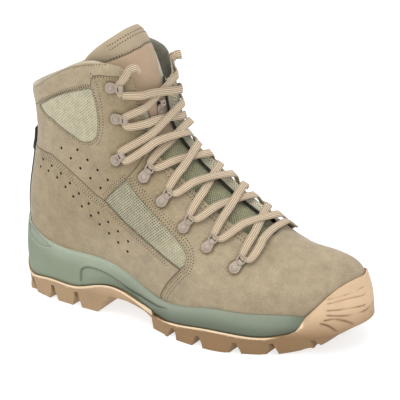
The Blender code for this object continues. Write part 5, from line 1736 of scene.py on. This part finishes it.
def strand(start_label, end_label, over):
    """Middle line of the lace from one turn to the next, and the way its face looks."""
    (start, start_face), (end, end_face) = turn_point(start_label), turn_point(end_label)
    length = np.linalg.norm(end - start)
    run = (end - start) / length
    front = unit(np.array((1, 0, 0)) - run * run[0])
    _, normal, _, _ = LACE_BED.ray_cast(Vector((start + end) / 2 + front * PROBE), Vector(-front))
    front = unit(np.array(normal) * (1, 0, 1))
    front = unit(front - run * np.dot(front, run))
    at = np.linspace(0, 1, BAR_STEPS + 1)
    first = (at < 0.5)[:, None]
    reach = np.where(at < 0.5, TWIST_REACH[start_label[0]], TWIST_REACH[end_label[0]])
    near = np.clip(1 - np.minimum(at, 1 - at) * length / reach, 0, 1)[:, None]
    facing = (1 - near) * front + near * np.where(first, start_face, end_face)
    facing = unit(facing - run * (facing @ run)[:, None])
    chord = start + (end - start) * at[:, None]
    raised = np.array([point + front * surface_rise(point, front) for point in chord])
    clear = pushed(raised, facing, np.cross(facing, run))
    high = (clear - chord) @ front
    touched = taut(at, high)
    level = np.interp(at, at[touched], high[touched])
    lift = over * (LACE_THICK + CROSS_CLEAR) * np.sin(np.pi * at) ** CROSS_ROUND
    return clear + (level - high + lift)[:, None] * front, facing


def is_above(other, label):
    """1 if a strand leaves its turn for one further up the boot, otherwise 0."""
    return int(int(other[1:]) > int(label[1:]))


def hand(place, line, last):
    """The side of its fitting, 1 or -1, on which a strand leaves the turn at its start or end."""
    label = LACE_ORDER[place]
    foot, _, aside, _ = fitting_at(label)
    lean = np.dot(unit(line[-1 - BAR_ENDS if last else BAR_ENDS] - foot), aside)
    other = place + (1 if last else -1)
    if 0 <= other < len(LACE_ORDER):
        lean -= np.dot(unit(turn_point(LACE_ORDER[other])[0] - foot), aside)
    else:
        lean = -np.dot(np.array(TAILS["outer" if label[0] == "o" else "inner"][0]) - foot, aside)
    return 1.0 if lean > 0 else -1.0


def lace_route():
    """The whole lace between the two top hooks: points, faces and widths."""
    stops = []
    at = np.linspace(0, 1, BAR_STEPS + 1)
    for k, labels in enumerate(zip(LACE_ORDER[:-1], LACE_ORDER[1:])):
        line, facing = strand(*labels, int(k >= OVER_FROM))
        length = np.linalg.norm(line[-1] - line[0])
        ends = []
        for last, label, other in ((0, *labels), (1, *labels[::-1])):
            ends.append((label, hand(k + last, line, last), is_above(other, label)))
        for last, (label, side, above) in enumerate(ends):
            off = np.abs(at - last) * length / BULGE_AT
            swing = off * np.exp(1 - off) * side * BULGE[label[0]][above]
            line = line + swing[:, None] * fitting_at(label)[2]
        turns = []
        for last, (label, side, above) in enumerate(ends):
            out = fitting_at(label)[3]
            wide = SEAT_WIDE[kind_of(label)] + (LOOSER if label[0] == "i" else 0)
            beside, bend, middle = seat_points(label, side * SPREAD_SHARE[label[0]][above])
            face = unit(out + facing[-1 - BAR_ENDS if last else BAR_ENDS])
            turns.append([(middle, out, wide), (bend, out, wide), (beside, face, BESIDE_WIDE)])
        inner = range(BAR_ENDS, BAR_STEPS + 1 - BAR_ENDS, 2)
        stops += turns[0][0 if k else 2:]
        stops += [(line[step], facing[step], LACE_WIDE) for step in inner]
        stops += turns[1][:0:-1] if k < len(LACE_ORDER) - 2 else turns[1][2:]
    return [np.array(each) for each in zip(*stops)]


def make_lace_run():
    """The lace from one top hook to the other, as one cord."""
    points, faces, wide = lace_route()
    line, at = spline(points, LACE_STEP)
    number = np.arange(len(points))
    run = lace_mesh("lace_run", line, between(at, number, faces), np.interp(at, number, wide))
    run.data.materials.append(LACE_FINISH)
    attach(run, "root")
    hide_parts("lace_crossings")


make_lace_run()
